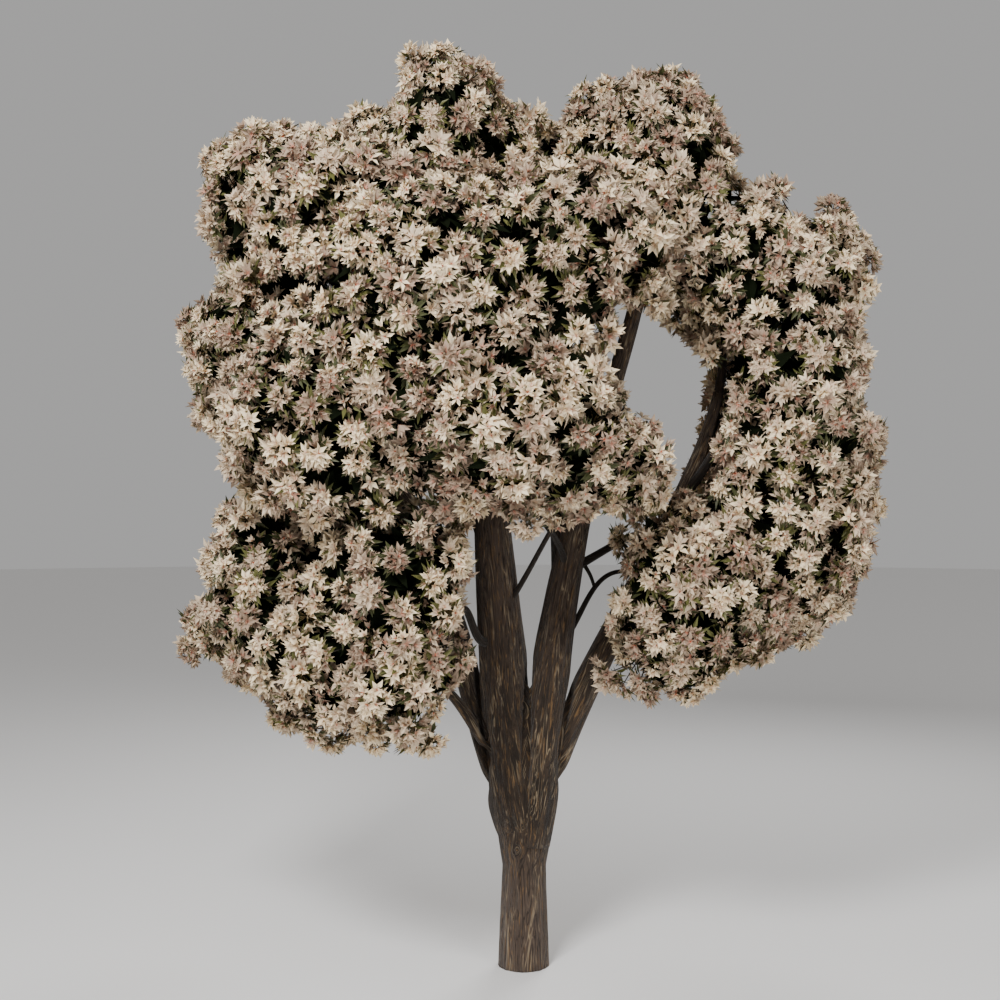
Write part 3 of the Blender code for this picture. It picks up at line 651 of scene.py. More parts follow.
def bark_material(name, dark, mid, streak, pale, foot):
    """Dark brown wood fibres with ochre streaks, pale lines and cracks, paler towards the ground
    and on the upper stems: painted light of the lower trunk outside the crown's shadow, with some
    weathering, and of the stems against the crown's shade. The sheen is that of the fine dry fibres
    seen along the surface."""
    material = bpy.data.materials.new(name)
    material.use_nodes = True
    tree = material.node_tree
    shader = tree.nodes["Principled BSDF"]
    for finish, value in BARK_FINISH.items():
        shader.inputs[finish].default_value = value
    group = tree.nodes.new("ShaderNodeGroup")
    group.node_tree = bpy.data.node_groups.get("bark_fibres") or fibre_group()
    masks = group.outputs
    colour = mix_colours(tree, masks["Broad"], tuple(dark), tuple(mid))
    # the foot and the upper stems get the paler colour as painted light
    for mask, layer, most in (("LitFoot", foot, LIT_FOOT_SHARE), ("Young", foot, LIT_UPPER_SHARE),
                              ("Streak", streak, STREAK_SHARE), ("Pale", pale, PALE_SHARE),
                              ("Crack", dark, CRACK_SHARE)):
        colour = mix_colours(tree, masks[mask], colour, tuple(layer), most)
    tree.links.new(colour, shader.inputs["Base Color"])
    bump = tree.nodes.new("ShaderNodeBump")
    bump.inputs["Strength"].default_value = 1.0
    bump.inputs["Distance"].default_value = BARK_BUMP
    tree.links.new(masks["Height"], bump.inputs["Height"])
    tree.links.new(bump.outputs["Normal"], shader.inputs["Normal"])
    return material


# ---------------------------------------------------------------- twigs
def twig_bars(starts, ends, thick, thin):
    """Three-sided bars from each start to each end, tapering, closed at both ends."""
    axes = unit(ends - starts)
    u, v = square_frames(axes)
    angles = np.arange(3) * TAU / 3.0
    around = turned(angles[None], u[:, None], v[:, None])
    low = starts[:, None] + around * np.broadcast_to(thick, len(starts))[:, None, None]
    high = ends[:, None] + around * np.broadcast_to(thin, len(starts))[:, None, None]
    points = np.concatenate((low, high), axis=1).reshape(-1, 3)
    pattern = np.array([(0, 1, 4), (0, 4, 3), (1, 2, 5), (1, 5, 4), (2, 0, 3), (2, 3, 5),
                        (2, 1, 0), (3, 4, 5)])
    faces = (np.arange(len(starts)) * 6)[:, None, None] + pattern[None]
    return points, faces.reshape(-1, 3)


# ---------------------------------------------------------------- blades: petals and leaves
def blades(roots, along, across, lift, lengths, widths, profile, pattern):
    """One blade for each root: every profile point (reach, side, rise) goes to
    root + length reach along + width side across + length rise lift."""
    profile = np.asarray(profile, float)
    reach = profile[:, 0][None, :, None] * lengths[:, None, None]
    side = profile[:, 1][None, :, None] * widths[:, None, None]
    rise = profile[:, 2][None, :, None] * lengths[:, None, None]
    points = roots[:, None] + reach * along[:, None] + side * across[:, None]
    points = points + rise * lift[:, None]
    pattern = np.asarray(pattern)
    faces = (np.arange(len(roots)) * len(profile))[:, None, None] + pattern[None]
    return points.reshape(-1, 3), faces.reshape(-1, 3)


# a blade is a kite folded along its spine: (reach, side, rise) at root, both edges and tip
PETAL_PROFILE = ((0.0, 0.0, 0.0), (0.50, -0.5, 0.07), (1.0, 0.0, -0.06), (0.50, 0.5, 0.07))
LEAF_PROFILE = ((0.0, 0.0, 0.0), (0.40, -0.5, 0.05), (1.0, 0.0, -0.10), (0.40, 0.5, 0.05))
BLADE_PATTERN = ((0, 2, 1), (0, 3, 2))
# an inner petal is one pointed face: (reach, side, rise) at both sides of its foot and at its tip
HEART_PROFILE = ((0.05, -0.5, 0.0), (1.0, 0.0, 0.0), (0.05, 0.5, 0.0))
HEART_PATTERN = ((0, 2, 1),)
# how far petals stray from their even turn, from the cup angle and about their own length
TURN_SPREAD = 0.16
LEAN_SPREAD = 0.22
TWIST_SPREAD = 0.38
PETAL_RANGE = (0.78, 1.18)


def flower_blades(middles, facing, spin, count, length, width, cup, rng,
                  profile=PETAL_PROFILE, pattern=BLADE_PATTERN):
    """Petals set round each flower's middle, lifted from its face by the cup angle and
    twisted a little about their own length."""
    u, v = square_frames(facing)
    angles = spin[:, None] + TAU * np.arange(count)[None] / count
    angles = angles + rng.normal(0.0, TURN_SPREAD, angles.shape)
    lean = cup[:, None] + rng.normal(0.0, LEAN_SPREAD, angles.shape)
    twist = rng.normal(0.0, TWIST_SPREAD, angles.shape)
    out = turned(angles, u[:, None], v[:, None])
    side = turned(angles, v[:, None], -u[:, None])
    face = np.broadcast_to(facing[:, None], out.shape)
    along, lift = turned(lean, out, face), turned(lean, face, -out)
    across, lift = turned(twist, side, lift), turned(twist, lift, -side)
    lengths = (length[:, None] * rng.uniform(*PETAL_RANGE, angles.shape)).ravel()
    roots = np.broadcast_to(middles[:, None], out.shape)
    roots, along, across, lift = (row.reshape(-1, 3) for row in (roots, along, across, lift))
    return blades(roots, along, across, lift, lengths, lengths * width, profile, pattern)


# ---------------------------------------------------------------- the crown's plan
CENTRES = np.array([mass.centre for mass in MASSES])
HALVES = np.array([mass.half for mass in MASSES])
BLEND = 0.30
SMALL_GAP = 0.80
# shares of ivory, blush and rose: the darker blush and rose stand partly for petals in shade,
# painted shade as well as pink
TINT_SHARES = (0.42, 0.35, 0.23)
# flowers that lean away from their cluster's facing are dealt a darker tint: painted shade on a
# cluster's rim
SHADED_RIM_LEAN = 0.5
SHADED_RIM_SHARE = 0.55
# flowers on a cluster's dome, by kind of cluster (large, small, inner): each ring's tilt
# and its count
DOME_RINGS = (((0.0, 1), (0.70, 6), (1.32, 11)), ((0.0, 1), (1.10, 5)), ((0.0, 1), (1.10, 5)))
# finding the crown's surface: candidates per square metre, and steps outwards from the middle
CANDIDATES = 260
CANDIDATE_NUDGE = 0.04
MARCH = 40
MARCH_START = 0.25
MARCH_BEYOND = 0.55
# clusters stand closer side by side than above each other
PLUMB = 1.22
ROOM_RANGE = (0.88, 1.12)
INNER_GAP = 1.40
# how far clusters of each kind lie out of or in the surface, and how large they are
LARGE_OUT = (-0.08, 0.05)
SMALL_IN = (0.03, 0.14)
SWELL_RANGE = (0.72, 1.28)
KIND_SWELL = np.array((1.0, 0.72, 0.95))
FACING_SPREAD = 0.16
FACING_LIFT = (0.0, 0.0, 0.06)
# twigs of a mass: how far the main ones reach, where the others fork, and both ends' radii
MAIN_REACH = 0.72
MAIN_START = (0.35, 1.0)
FORK_RANGE = (0.35, 0.85)
ELBOW_SHARE = 0.55
ELBOW_SPREAD = 0.022
TWIG_RADII = ((0.013, 0.007), (0.0075, 0.0055), (0.0055, 0.004))
DOME_TILT_SPREAD = 0.13
DOME_TURN_SPREAD = 0.16
DOME_RANGE = (0.82, 1.14)
FLOWER_SPREAD = 0.15
FLOWER_ROOM = 0.04
CLUSTER_ROOM = 0.08
# the point that the front view spreads from
FAN = (-0.1645, -9.7225, 3.248)
Clearing = namedtuple("Clearing", "centre half turn back")
THROUGH = 9.0
# open sky that reaches back to a depth: its middle (x, z) and half-sizes at the trunk's axis,
# its turn, and the depth; it grows in proportion towards the back from the pivot
CLEARINGS = [Clearing(*row) for row in (
    ((1.0, 4.1), (0.272, 0.31), 0.32, THROUGH),
    ((1.1, 3.84), (0.11, 0.27), 0.21, THROUGH),
    ((1.25, 3.75), (0.08, 0.44), -0.4, 0.02),
    ((0.75, 4.34), (0.09, 0.24), -0.25, 0.0),
    ((0.35, 2.93), (0.11, 0.15), 0.0, -0.15),
    ((-0.22, 2.98), (0.12, 0.17), 0.0, -0.15),
    ((0.11, 6.13), (0.1, 0.13), -0.4, THROUGH),
)]
# level clearings right through the crown: x, z and half-sizes
OPEN_SKY = (
    (0.53, 2.75, 0.08, 0.38), (-0.38, 2.46, 0.03, 0.26), (-2.28, 4.82, 0.13, 0.1),
    (-2.33, 5.02, 0.06, 0.08), (-2.33, 5.33, 0.08, 0.17), (-2.46, 4.6, 0.05, 0.12),
    (-2.46, 4.33, 0.05, 0.08), (-2.42, 3.92, 0.09, 0.25), (-2.27, 3.03, 0.09, 0.12),
    (-2.34, 2.63, 0.12, 0.08), (-2.22, 2.05, 0.08, 0.05), (-1.97, 1.8, 0.15, 0.1),
    (-1.71, 1.52, 0.12, 0.08), (-1.57, 1.52, 0.06, 0.08), (-1.19, 1.45, 0.06, 0.08),
    (-0.53, 1.67, 0.06, 0.11), (-1.97, 6.0, 0.13, 0.1), (-1.45, 6.0, 0.24, 0.11),
    (-0.97, 6.22, 0.1, 0.19), (-0.29, 6.41, 0.09, 0.09), (1.42, 6.03, 0.07, 0.11),
    (-0.06, 6.18, 0.09, 0.12), (1.6, 5.58, 0.1, 0.1), (1.97, 5.39, 0.11, 0.13),
    (2.48, 4.48, 0.1, 0.22), (2.5, 4.02, 0.09, 0.19), (2.58, 3.45, 0.06, 0.28),
    (2.52, 2.97, 0.07, 0.06), (0.66, 6.32, 0.1, 0.08), (2.46, 2.59, 0.11, 0.14),
    (2.2, 2.29, 0.09, 0.08), (1.49, 1.91, 0.13, 0.11),
)
CLEARINGS += [Clearing((x, z), (wide, tall), 0.0, THROUGH) for x, z, wide, tall in OPEN_SKY]

# sprays that stand out at the crown's edge: (x, z) as seen from the front at the trunk's axis
EDGE_SPRAYS = np.array([
    (-0.77, 6.31), (-0.52, 6.34), (-0.44, 6.36), (0.38, 5.94), (0.42, 6.09), (0.58, 6.09),
    (0.78, 6.1), (1.0, 6.17), (1.15, 6.17), (1.28, 5.96), (1.43, 5.72), (1.74, 5.39),
    (2.26, 5.2), (2.4, 4.94), (2.34, 4.28), (2.4, 3.04), (2.32, 2.82), (2.23, 2.55),
    (1.8, 2.26), (1.6, 2.22), (1.16, 1.92), (0.88, 1.93), (0.7, 1.96), (0.6, 2.04),
    (-0.66, 1.58), (-0.8, 1.57), (-1.03, 1.56), (-1.34, 1.56), (-1.46, 1.58), (-1.75, 1.76),
    (-2.27, 2.26), (-2.31, 2.4), (-1.68, 5.8), (-1.86, 5.75), (-2.11, 5.7), (-2.0, 3.52),
    (-2.17, 4.68), (-2.17, 5.63), (-1.13, 5.92), (-0.5, 3.02), (-0.48, 3.12), (0.045, 3.36),
    (0.06, 3.22), (0.02, 3.09), (0.63, 3.08), (0.66, 2.72), (2.16, 5.28), (2.38, 2.76),
    (-2.32, 2.2), (0.68, 2.98), (1.08, 4.54), (1.2, 4.42), (0.92, 4.64), (0.94, 3.42),
    (0.93, 3.28),
])

Crown = namedtuple(
    "Crown", "clusters facing swell kinds twigs flowers flower_facing flower_cluster limbs")
_kept = {}


def crown_depths(points):
    """Distance to every mass's ellipsoid, about |q|(|q| - 1) / |q / half|, and their
    smooth least: minus the blend times the log of the summed powers of e."""
    q = (points[:, None] - CENTRES) / HALVES
    size = np.linalg.norm(q, axis=2)
    each = size * (size - 1.0) / np.maximum(np.linalg.norm(q / HALVES, axis=2), 1e-9)
    least = each.min(axis=1)
    total = np.exp(-(each - least[:, None]) / BLEND).sum(axis=1)
    return least - BLEND * np.log(total), each


def crown_facing(points, step=0.05):
    """Slope of the smooth least, by differences along X, Y and Z."""
    slope = [crown_depths(points + offset)[0] - crown_depths(points - offset)[0]
             for offset in np.eye(3) * step]
    return unit(np.stack(slope, axis=1))


def in_clearing(points, margin=0.0):
    """True where the place lies in a clearing, grown by the margin."""
    inside = np.zeros(len(points), bool)
    grow = FAN[1] / (FAN[1] - points[:, 1])
    for clearing in CLEARINGS:
        x = FAN[0] + (points[:, 0] - FAN[0]) * grow - clearing.centre[0]
        z = FAN[2] + (points[:, 2] - FAN[2]) * grow - clearing.centre[1]
        c, s = math.cos(clearing.turn), math.sin(clearing.turn)
        across, along = c * x + s * z, c * z - s * x
        wide, tall = clearing.half[0] + margin, clearing.half[1] + margin
        near = (across / wide) ** 2 + (along / tall) ** 2
        inside |= (near < 1.0) & (points[:, 1] < clearing.back)
    return inside


def edge_places():
    """The edge sprays, each at the middle depth of the mass it stands nearest to and spread
    from the front view's pivot in proportion, with that mass's number."""
    grow = (CENTRES[:, 1] - FAN[1]) / -FAN[1]
    x = FAN[0] + (EDGE_SPRAYS[:, :1] - FAN[0]) * grow
    z = FAN[2] + (EDGE_SPRAYS[:, 1:] - FAN[2]) * grow
    places = np.stack((x, np.broadcast_to(CENTRES[:, 1], x.shape), z), axis=2)
    owner = np.linalg.norm((places - CENTRES) / HALVES, axis=2).argmin(axis=1)
    return places[np.arange(len(places)), owner], owner


def shell_places(level, spacings, rng):
    """Places where the smooth least meets the level, and their masses: for each spacing in
    turn, as many as fit at that distance from all that were placed before."""
    places, owners = [], []
    for number, mass in enumerate(MASSES):
        half = np.array(mass.half)
        count = int(CANDIDATES * 4.0 * math.pi * np.mean(half) ** 2)
        directions = spread_directions(count, rng, CANDIDATE_NUDGE)
        edge = 1.0 / np.linalg.norm(directions / half, axis=1)
        steps = np.linspace(MARCH_START, 1.0, MARCH)
        ways = steps[None] * (edge + MARCH_BEYOND)[:, None]
        points = np.array(mass.centre) + directions[:, None] * ways[..., None]
        depth = crown_depths(points.reshape(-1, 3))[0].reshape(count, MARCH) - level
        crossing = (depth[:, :-1] < 0.0) & (depth[:, 1:] >= 0.0)
        found = crossing.any(axis=1)
        at = np.argmax(crossing, axis=1)
        rows = np.arange(count)
        low, high = depth[rows, at], depth[rows, at + 1]
        share = -low / np.maximum(high - low, 1e-9)
        way = ways[rows, at] + share * (ways[rows, at + 1] - ways[rows, at])
        spots = np.array(mass.centre) + directions * way[:, None]
        owner = crown_depths(spots)[1].argmin(axis=1)
        keep = found & (owner == number)
        places.append(spots[keep])
        owners.append(np.full(int(keep.sum()), number))
    places, owners = np.concatenate(places), np.concatenate(owners)
    order = rng.permutation(len(places))
    places, owners = places[order], owners[order]
    squeezed = places * (1.0, 1.0, PLUMB)
    gap = np.full(len(places), np.inf)
    rounds = []
    for spacing in spacings:
        room = spacing * rng.uniform(*ROOM_RANGE, len(places))
        chosen = []
        for k in range(len(places)):
            if gap[k] > room[k]:
                chosen.append(k)
                gap = np.minimum(gap, np.linalg.norm(squeezed - squeezed[k], axis=1))
        rounds.append((places[chosen], owners[chosen]))
    return rounds


def plan_crown(sizes):
    """Every twig, cluster and flower, mass by mass, from the source's twigs onward."""
    if "crown" in _kept:
        return _kept["crown"]
    runs = lay_out_runs()
    carriers = {}
    for limb in LIMBS:
        carriers.setdefault(limb.mass, limb.name)
    fine = np.random.default_rng(SEED + 1000)
    (large, large_mass), (small, small_mass) = shell_places(
        -sizes.sink, (sizes.spacing, sizes.spacing * SMALL_GAP), fine)
    (inner, inner_mass), = shell_places(-sizes.sink, (sizes.spacing * INNER_GAP,), fine)
    inner = inner - crown_facing(inner) * sizes.layer
    large = large + crown_facing(large) * fine.uniform(*LARGE_OUT, len(large))[:, None]
    small = small - crown_facing(small) * fine.uniform(*SMALL_IN, len(small))[:, None]
    edge, edge_mass = edge_places()
    roots = np.concatenate((large, edge, small, inner))
    homes = np.concatenate((large_mass, edge_mass, small_mass, inner_mass))
    kinds = np.repeat((0, 0, 1, 2), (len(large), len(edge), len(small), len(inner)))
    swell = fine.uniform(*SWELL_RANGE, len(roots)) * KIND_SWELL[kinds]
    facing = crown_facing(roots)
    keep = ~in_clearing(roots, CLUSTER_ROOM)
    roots, homes, facing, kinds, swell = (
        row[keep] for row in (roots, homes, facing, kinds, swell))
    facing = unit(facing + fine.normal(0.0, FACING_SPREAD, facing.shape) + FACING_LIFT)
    bars, stems = [], []
    for number, mass in enumerate(MASSES):
        centre = np.array(mass.centre)
        run = runs[carriers[mass.name]]
        rng = np.random.default_rng(SEED + number)
        rng.uniform(size=CORE_POINTS)
        main = spread_directions(TWIGS, rng)
        tip = run.points(1.0)
        bend = tip + run.tangents(1.0) * STEM_LEAD
        stems.append((run, tip, bend, centre))
        main_ends = centre + main * (space_reach(mass, runs, main) * MAIN_REACH)[:, None]
        start = fine.uniform(*MAIN_START, TWIGS)[:, None]
        main_starts = bend + (centre - bend) * start
        mine = np.flatnonzero(homes == number)
        nearest = np.argmax(unit(roots[mine] - centre) @ main.T, axis=1)
        part = fine.uniform(*FORK_RANGE, len(mine))[:, None]
        fork = main_starts[nearest] * (1.0 - part) + main_ends[nearest] * part
        elbow = fork + (roots[mine] - fork) * ELBOW_SHARE
        elbow = elbow + fine.normal(0.0, ELBOW_SPREAD, (len(mine), 3))
        ends = ((main_starts, main_ends), (fork, elbow), (elbow, roots[mine]))
        bars += [(*pair, *radii) for pair, radii in zip(ends, TWIG_RADII)]
    # flowers stand on a dome round the end of the twig
    flowers = []
    for kind, rings in enumerate(DOME_RINGS):
        group = np.flatnonzero(kinds == kind)
        u, v = square_frames(facing[group])
        for tilt, count in rings:
            turn = fine.uniform(0.0, TAU, len(group))
            for k in range(count):
                tilts = tilt + fine.normal(0.0, DOME_TILT_SPREAD, len(group))
                spread = fine.normal(0.0, DOME_TURN_SPREAD, len(group))
                out = turned(turn + TAU * k / count + spread, u, v)
                way = turned(tilts, facing[group], out)
                radius = sizes.dome * swell[group] * fine.uniform(*DOME_RANGE, len(group))
                middle = roots[group] + way * radius[:, None]
                free = ~in_clearing(middle + way * FLOWER_ROOM)
                looks = unit(way[free] + fine.normal(0.0, FLOWER_SPREAD, way[free].shape))
                flowers.append((middle[free], looks, group[free]))
    flowers = [np.concatenate(rows) for rows in zip(*flowers)]
    _kept["crown"] = Crown(roots, facing, swell, kinds, bars, *flowers, stems)
    return _kept["crown"]


def swollen(share, swell):
    """Size of a part on a cluster of that swell, of which the share grows with it."""
    return 1.0 - share + share * swell


# ---------------------------------------------------------------- settings
def colour_property(name, description, default):
    """A colour that the user can change."""
    return bpy.props.FloatVectorProperty(name=name, description=description, subtype="COLOR",
                                         size=3, min=0.0, max=1.0, default=default)


def length_property(name, description, default):
    """A length that the user can change."""
    return bpy.props.FloatProperty(name=name, description=description, default=default,
                                   unit="LENGTH")


def share_property(name, description, default):
    """A plain number that the user can change."""
    return bpy.props.FloatProperty(name=name, description=description, default=default)


def count_property(name, description, default):
    """A whole number that the user can change."""
    return bpy.props.IntProperty(name=name, description=description, default=default)


class CherryWood(bpy.types.PropertyGroup):
    """Sizes of the bark"""
    relief: share_property("Relief", "Depth of the bark's ridges as a share of the radius", 0.050)
    ring_step: length_property(
        "Ring step", "Distance between two rings of the trunk's mesh", 0.022)
    trunk_sides: count_property("Trunk sides", "Points round the trunk and the stems", 120)
    bough_sides: count_property("Bough sides", "Points round a lesser bough", 24)


class CherryCrown(bpy.types.PropertyGroup):
    """Sizes of the blossom"""
    spacing: length_property("Spacing", "Between the middles of two clusters", 0.205)
    sink: length_property("Sink", "Depth of a cluster's middle under the crown's surface", 0.205)
    layer: length_property("Layer", "Depth of the inner layer under the outer one", 0.17)
    dome: length_property(
        "Cluster dome", "Radius of the dome that a cluster's flowers stand on", 0.066)
    petal: length_property("Petal", "Length of an outer petal", 0.062)
    petal_width: share_property("Petal width", "Width of a petal as a share of its length", 0.42)
    leaf: length_property("Leaf", "Length of a leaf", 0.088)
    leaves: count_property("Leaves", "Leaves round one cluster", 24)
    # the inner leaves are large and near-black: a layer of painted shade deep in the crown
    inner_leaf: length_property("Inner leaf", "Length of a leaf inside the crown", 0.22)
    inner_leaves: count_property("Inner leaves", "Leaves along the twig of one cluster", 10)


class CherryColours(bpy.types.PropertyGroup):
    """Colours of the tree"""
    bark_dark: colour_property("Bark dark", "Furrows of the bark", (0.016, 0.0105, 0.0068))
    bark_mid: colour_property("Bark", "Ribs of the bark", (0.040, 0.026, 0.016))
    bark_streak: colour_property("Bark streak", "Ochre streaks of the bark", (0.165, 0.092, 0.036))
    bark_pale: colour_property("Bark lines", "Pale lines of the bark", (0.280, 0.215, 0.135))
    # paler bark of the foot and the upper stems: painted light, partly weathered and younger bark
    bark_pale_and_lit: colour_property("Bark foot", "Weathered and young bark", (0.100, 0.070, 0.053))
    # near-black twigs: partly their own dark bark, partly painted shade in the crown's gaps
    twig: colour_property("Twig", "Young twigs", (0.014, 0.010, 0.007))
    stalk: colour_property("Flower stalk", "Stalks of the flowers", (0.150, 0.110, 0.045))
    # blush and rose petals are pinker and darker: partly real tint, partly painted shade of petals
    # in shade
    ivory: colour_property("Ivory petals", "Palest petals", (0.87, 0.725, 0.500))
    blush_and_shade: colour_property("Blush petals", "Faintly pink petals", (0.59, 0.470, 0.335))
    rose_and_shade: colour_property("Rose petals", "Pinkest petals", (0.38, 0.275, 0.195))
    peach: colour_property("Peach hearts", "Inner petals of pale flowers", (0.70, 0.515, 0.370))
    pink: colour_property("Pink hearts", "Inner petals of pink flowers", (0.50, 0.265, 0.185))
    eye: colour_property("Stamens", "Red-orange middle of the flower", (0.50, 0.110, 0.040))
    # the dark leaf is a darker copy of the leaf colour, dealt to random clusters: painted shade of
    # sprays in shade
    leaf_light: colour_property("Leaf", "Young leaves", (0.105, 0.104, 0.030))
    leaf_shaded: colour_property("Dark leaf", "Older leaves", (0.052, 0.056, 0.019))
    # near-black leaves deep in the crown: painted shade in the crown's gaps
    leaf_inner_shade: colour_property("Inner leaf", "Leaves deep in the crown", (0.006, 0.008, 0.004))


class CherryStage(bpy.types.PropertyGroup):
    """Floor, light and camera"""
    floor_colour: colour_property("Floor", "Plain floor", (0.86, 0.85, 0.84))
    lens: bpy.props.FloatProperty(
        name="Lens", description="Focal length", default=50.0, unit="CAMERA")
    distance: length_property("Camera distance", "From the trunk's axis", 9.7225)
    height: length_property("Camera height", "Above the floor", 3.248)
    side: length_property("Camera side", "Along X", -0.1645)
    key: bpy.props.FloatProperty(
        name="Key light", description="Main soft light", default=1500.0, unit="POWER")
    sky: share_property("Sky", "Even light from all round", 0.42)


# ---------------------------------------------------------------- operators
# the bark's meshes: the trunk's share of the relief, points and rings, then the flare of a
# bough's root and the slender ends of the boughs inside the blossom
TRUNK_RELIEF = 0.8
TRUNK_WAVES = 64
STEM_STRETCH = 1.3
MEASURE_STEPS = 60
LEAST_SIDES = 32
LEAST_RINGS = 24
WIDE_STEM = 0.2
BOUGH_RINGS = 36
BOUGH_FLARE = 0.55
FLARE_FADE = 0.10
LINK_RINGS = 12
ENTRY_SIDES = 12
ENTRY_RINGS = 10
ENTRY_RIDGES = 5
ENTRY_SINK = 0.02
ENTRY_LEAD = 0.12
ENTRY_TAPER = 0.6
STALK_WIDTH = 0.007


class CHERRY_OT_trunk(bpy.types.Operator):
    """Bark of the trunk and of the main stems, with its ridges as real relief"""
    bl_idname = "cherry.trunk"
    bl_label = "Trunk and Stems"

    def execute(self, context):
        wood = context.scene.cherry_wood
        runs = lay_out_runs()
        rng = np.random.default_rng(SEED + 50)
        sides = wood.trunk_sides
        heights = np.arange(0.0, SHAFT_TOP + 1e-6, wood.ring_step)
        lean = TRUNK_LEAN * (heights / SHAFT_TOP) ** 2
        centres = np.stack((lean, 0.0 * heights, heights), axis=1)
        up = np.tile((0.0, 0.0, 1.0), (len(heights), 1))
        relief = wood.relief * TRUNK_RELIEF
        blocks = [closed_tube(centres, up, shaft_radii(heights), sides, rng, relief,
                              TRUNK_WAVES, level=True, knots=KNOTS["trunk"])]
        for name in MAIN_STEMS:
            run = runs[name]
            steps = np.diff(run.points(np.linspace(0, 1, MEASURE_STEPS)), axis=0)
            length = np.linalg.norm(steps, axis=1).sum()
            rings = max(LEAST_RINGS, int(length / (wood.ring_step * STEM_STRETCH)))
            around = max(LEAST_SIDES, int(sides * run.limb.radii[0] / WIDE_STEM) // 2 * 2)
            shares = np.linspace(0.0, 1.0, rings)
            start, full = STEM_STUB if name.startswith("stem") else BOUGH_STUB
            grown = np.sin(0.5 * math.pi * np.minimum(shares / full, 1.0))
            radii = run.radii(shares) * (start + (1.0 - start) * grown)
            block = bark_tube(run.points(shares), run.tangents(shares), radii, around, rng,
                              wood.relief, around // 3, knots=KNOTS.get(name, ()))
            others = [runs[other] for other in MAIN_STEMS if other != name]
            points = sink_seams(block[0], run.points(shares), around, others)
            blocks.append(close_ends(points, *block[1:], around))
        colours = context.scene.cherry_colours
        material = bark_material("bark", colours.bark_dark, colours.bark_mid,
                                 colours.bark_streak, colours.bark_pale, colours.bark_pale_and_lit)
        finish_bark("bark_trunk_and_stems", blocks, material, ("trunk",) + MAIN_STEMS)
        return {"FINISHED"}


class CHERRY_OT_boughs(bpy.types.Operator):
    """Bark of the lesser boughs, each carried on into its own mass of blossom"""
    bl_idname = "cherry.boughs"
    bl_label = "Boughs"

    def execute(self, context):
        wood = context.scene.cherry_wood
        rng = np.random.default_rng(SEED + 60)
        runs = lay_out_runs()
        crown = plan_crown(context.scene.cherry_crown)
        lesser = [name for name in runs if name not in MAIN_STEMS]
        blocks = []
        for run in (runs[name] for name in lesser):
            shares = np.linspace(0.0, 1.0, BOUGH_RINGS)
            flare = 1.0 + BOUGH_FLARE * np.exp(-shares / FLARE_FADE)
            blocks.append(closed_tube(
                run.points(shares), run.tangents(shares), run.radii(shares) * flare,
                wood.bough_sides, rng, wood.relief, wood.bough_sides // 3))

        def slender(centres, radii):
            """A tube along centres whose own slopes give its directions."""
            slopes = unit(np.gradient(centres, axis=0))
            blocks.append(closed_tube(centres, slopes, radii, ENTRY_SIDES, rng, wood.relief,
                                      ENTRY_RIDGES))

        steps = np.linspace(0.0, 1.0, LINK_RINGS)
        start = runs["bough_lower_right"].points(LINK_SHARES)[0]
        end = runs["twig_right"].points(LINK_SHARES)[1]
        centres = start + (end - start) * steps[:, None]
        centres[:, 0] += LINK_BOW * np.sin(math.pi * steps)
        slender(centres, LINK_RADII[0] + LINK_RADII[1] * steps)
        steps = np.linspace(0.0, 1.0, ENTRY_RINGS)[:, None]
        for run, tip, bend, middle in crown.limbs:
            first = tip - run.tangents(1.0) * ENTRY_SINK
            second = bend + run.tangents(1.0) * ENTRY_LEAD
            centres = (1 - steps) ** 2 * first + 2 * steps * (1 - steps) * second
            slender(centres + steps ** 2 * middle,
                    run.limb.radii[1] * (1.0 - ENTRY_TAPER * steps[:, 0]))
        colours = context.scene.cherry_colours
        # the lesser boughs' furrows take the twig's near-black colour: partly painted shade inside
        # the crown
        material = bark_material("bark_young", colours.twig, colours.bark_dark,
                                 colours.bark_mid, colours.bark_mid, colours.bark_dark)
        finish_bark("bark_boughs", blocks, material, lesser)
        return {"FINISHED"}


class CHERRY_OT_twigs(bpy.types.Operator):
    """Twigs that branch inside the masses, down to the foot of every cluster"""
    bl_idname = "cherry.twigs"
    bl_label = "Twigs"

    def execute(self, context):
        colours = context.scene.cherry_colours
        crown = plan_crown(context.scene.cherry_crown)
        twigs = join_blocks([twig_bars(*bars) for bars in crown.twigs])
        # the twigs' near-black colour is partly painted shade
        make_piece("twigs", *twigs, plain_material("twig", colours.twig, TWIG_ROUGHNESS), "bark")
        roots = crown.clusters[crown.flower_cluster]
        reach = crown.flowers - roots
        length = np.linalg.norm(reach, axis=1)
        across, lift = square_frames(reach)
        stalks = blades(roots, reach / length[:, None], across, lift, length,
                        np.full(len(roots), STALK_WIDTH), PETAL_PROFILE, BLADE_PATTERN)
        stalk = plain_material("flower_stalk", colours.stalk, STALK_ROUGHNESS)
        make_piece("flower_stalks", *stalks, stalk, "blossom")
        return {"FINISHED"}


# flowers: how often one differs from its cluster's tint, has seven petals and not six, or
# shows stamens; how their petals grow, open and cup; then the hearts and the stamens
OWN_TINT = 0.30
SEVEN_SHARE = 0.40
EYED_SHARE = 0.6
PETAL_GROWTH = 0.65
FLOWER_RANGE = (0.80, 1.28)
OPEN_RANGE = (0.30, 0.65)
CLOSING = 0.55
CUP_SPREAD = 0.15
MOST_CUP = 1.2
HEART_RISE = 0.004
HEART_TURN = 0.6
HEART_SHARE = 0.60
HEART_CUP = 0.25
HEART_PETALS = 5
STAMENS = 3
STAMEN_LENGTH = 0.024
STAMEN_WIDTH = 0.30
STAMEN_CUP = 0.95
MOST_FACES = 180000


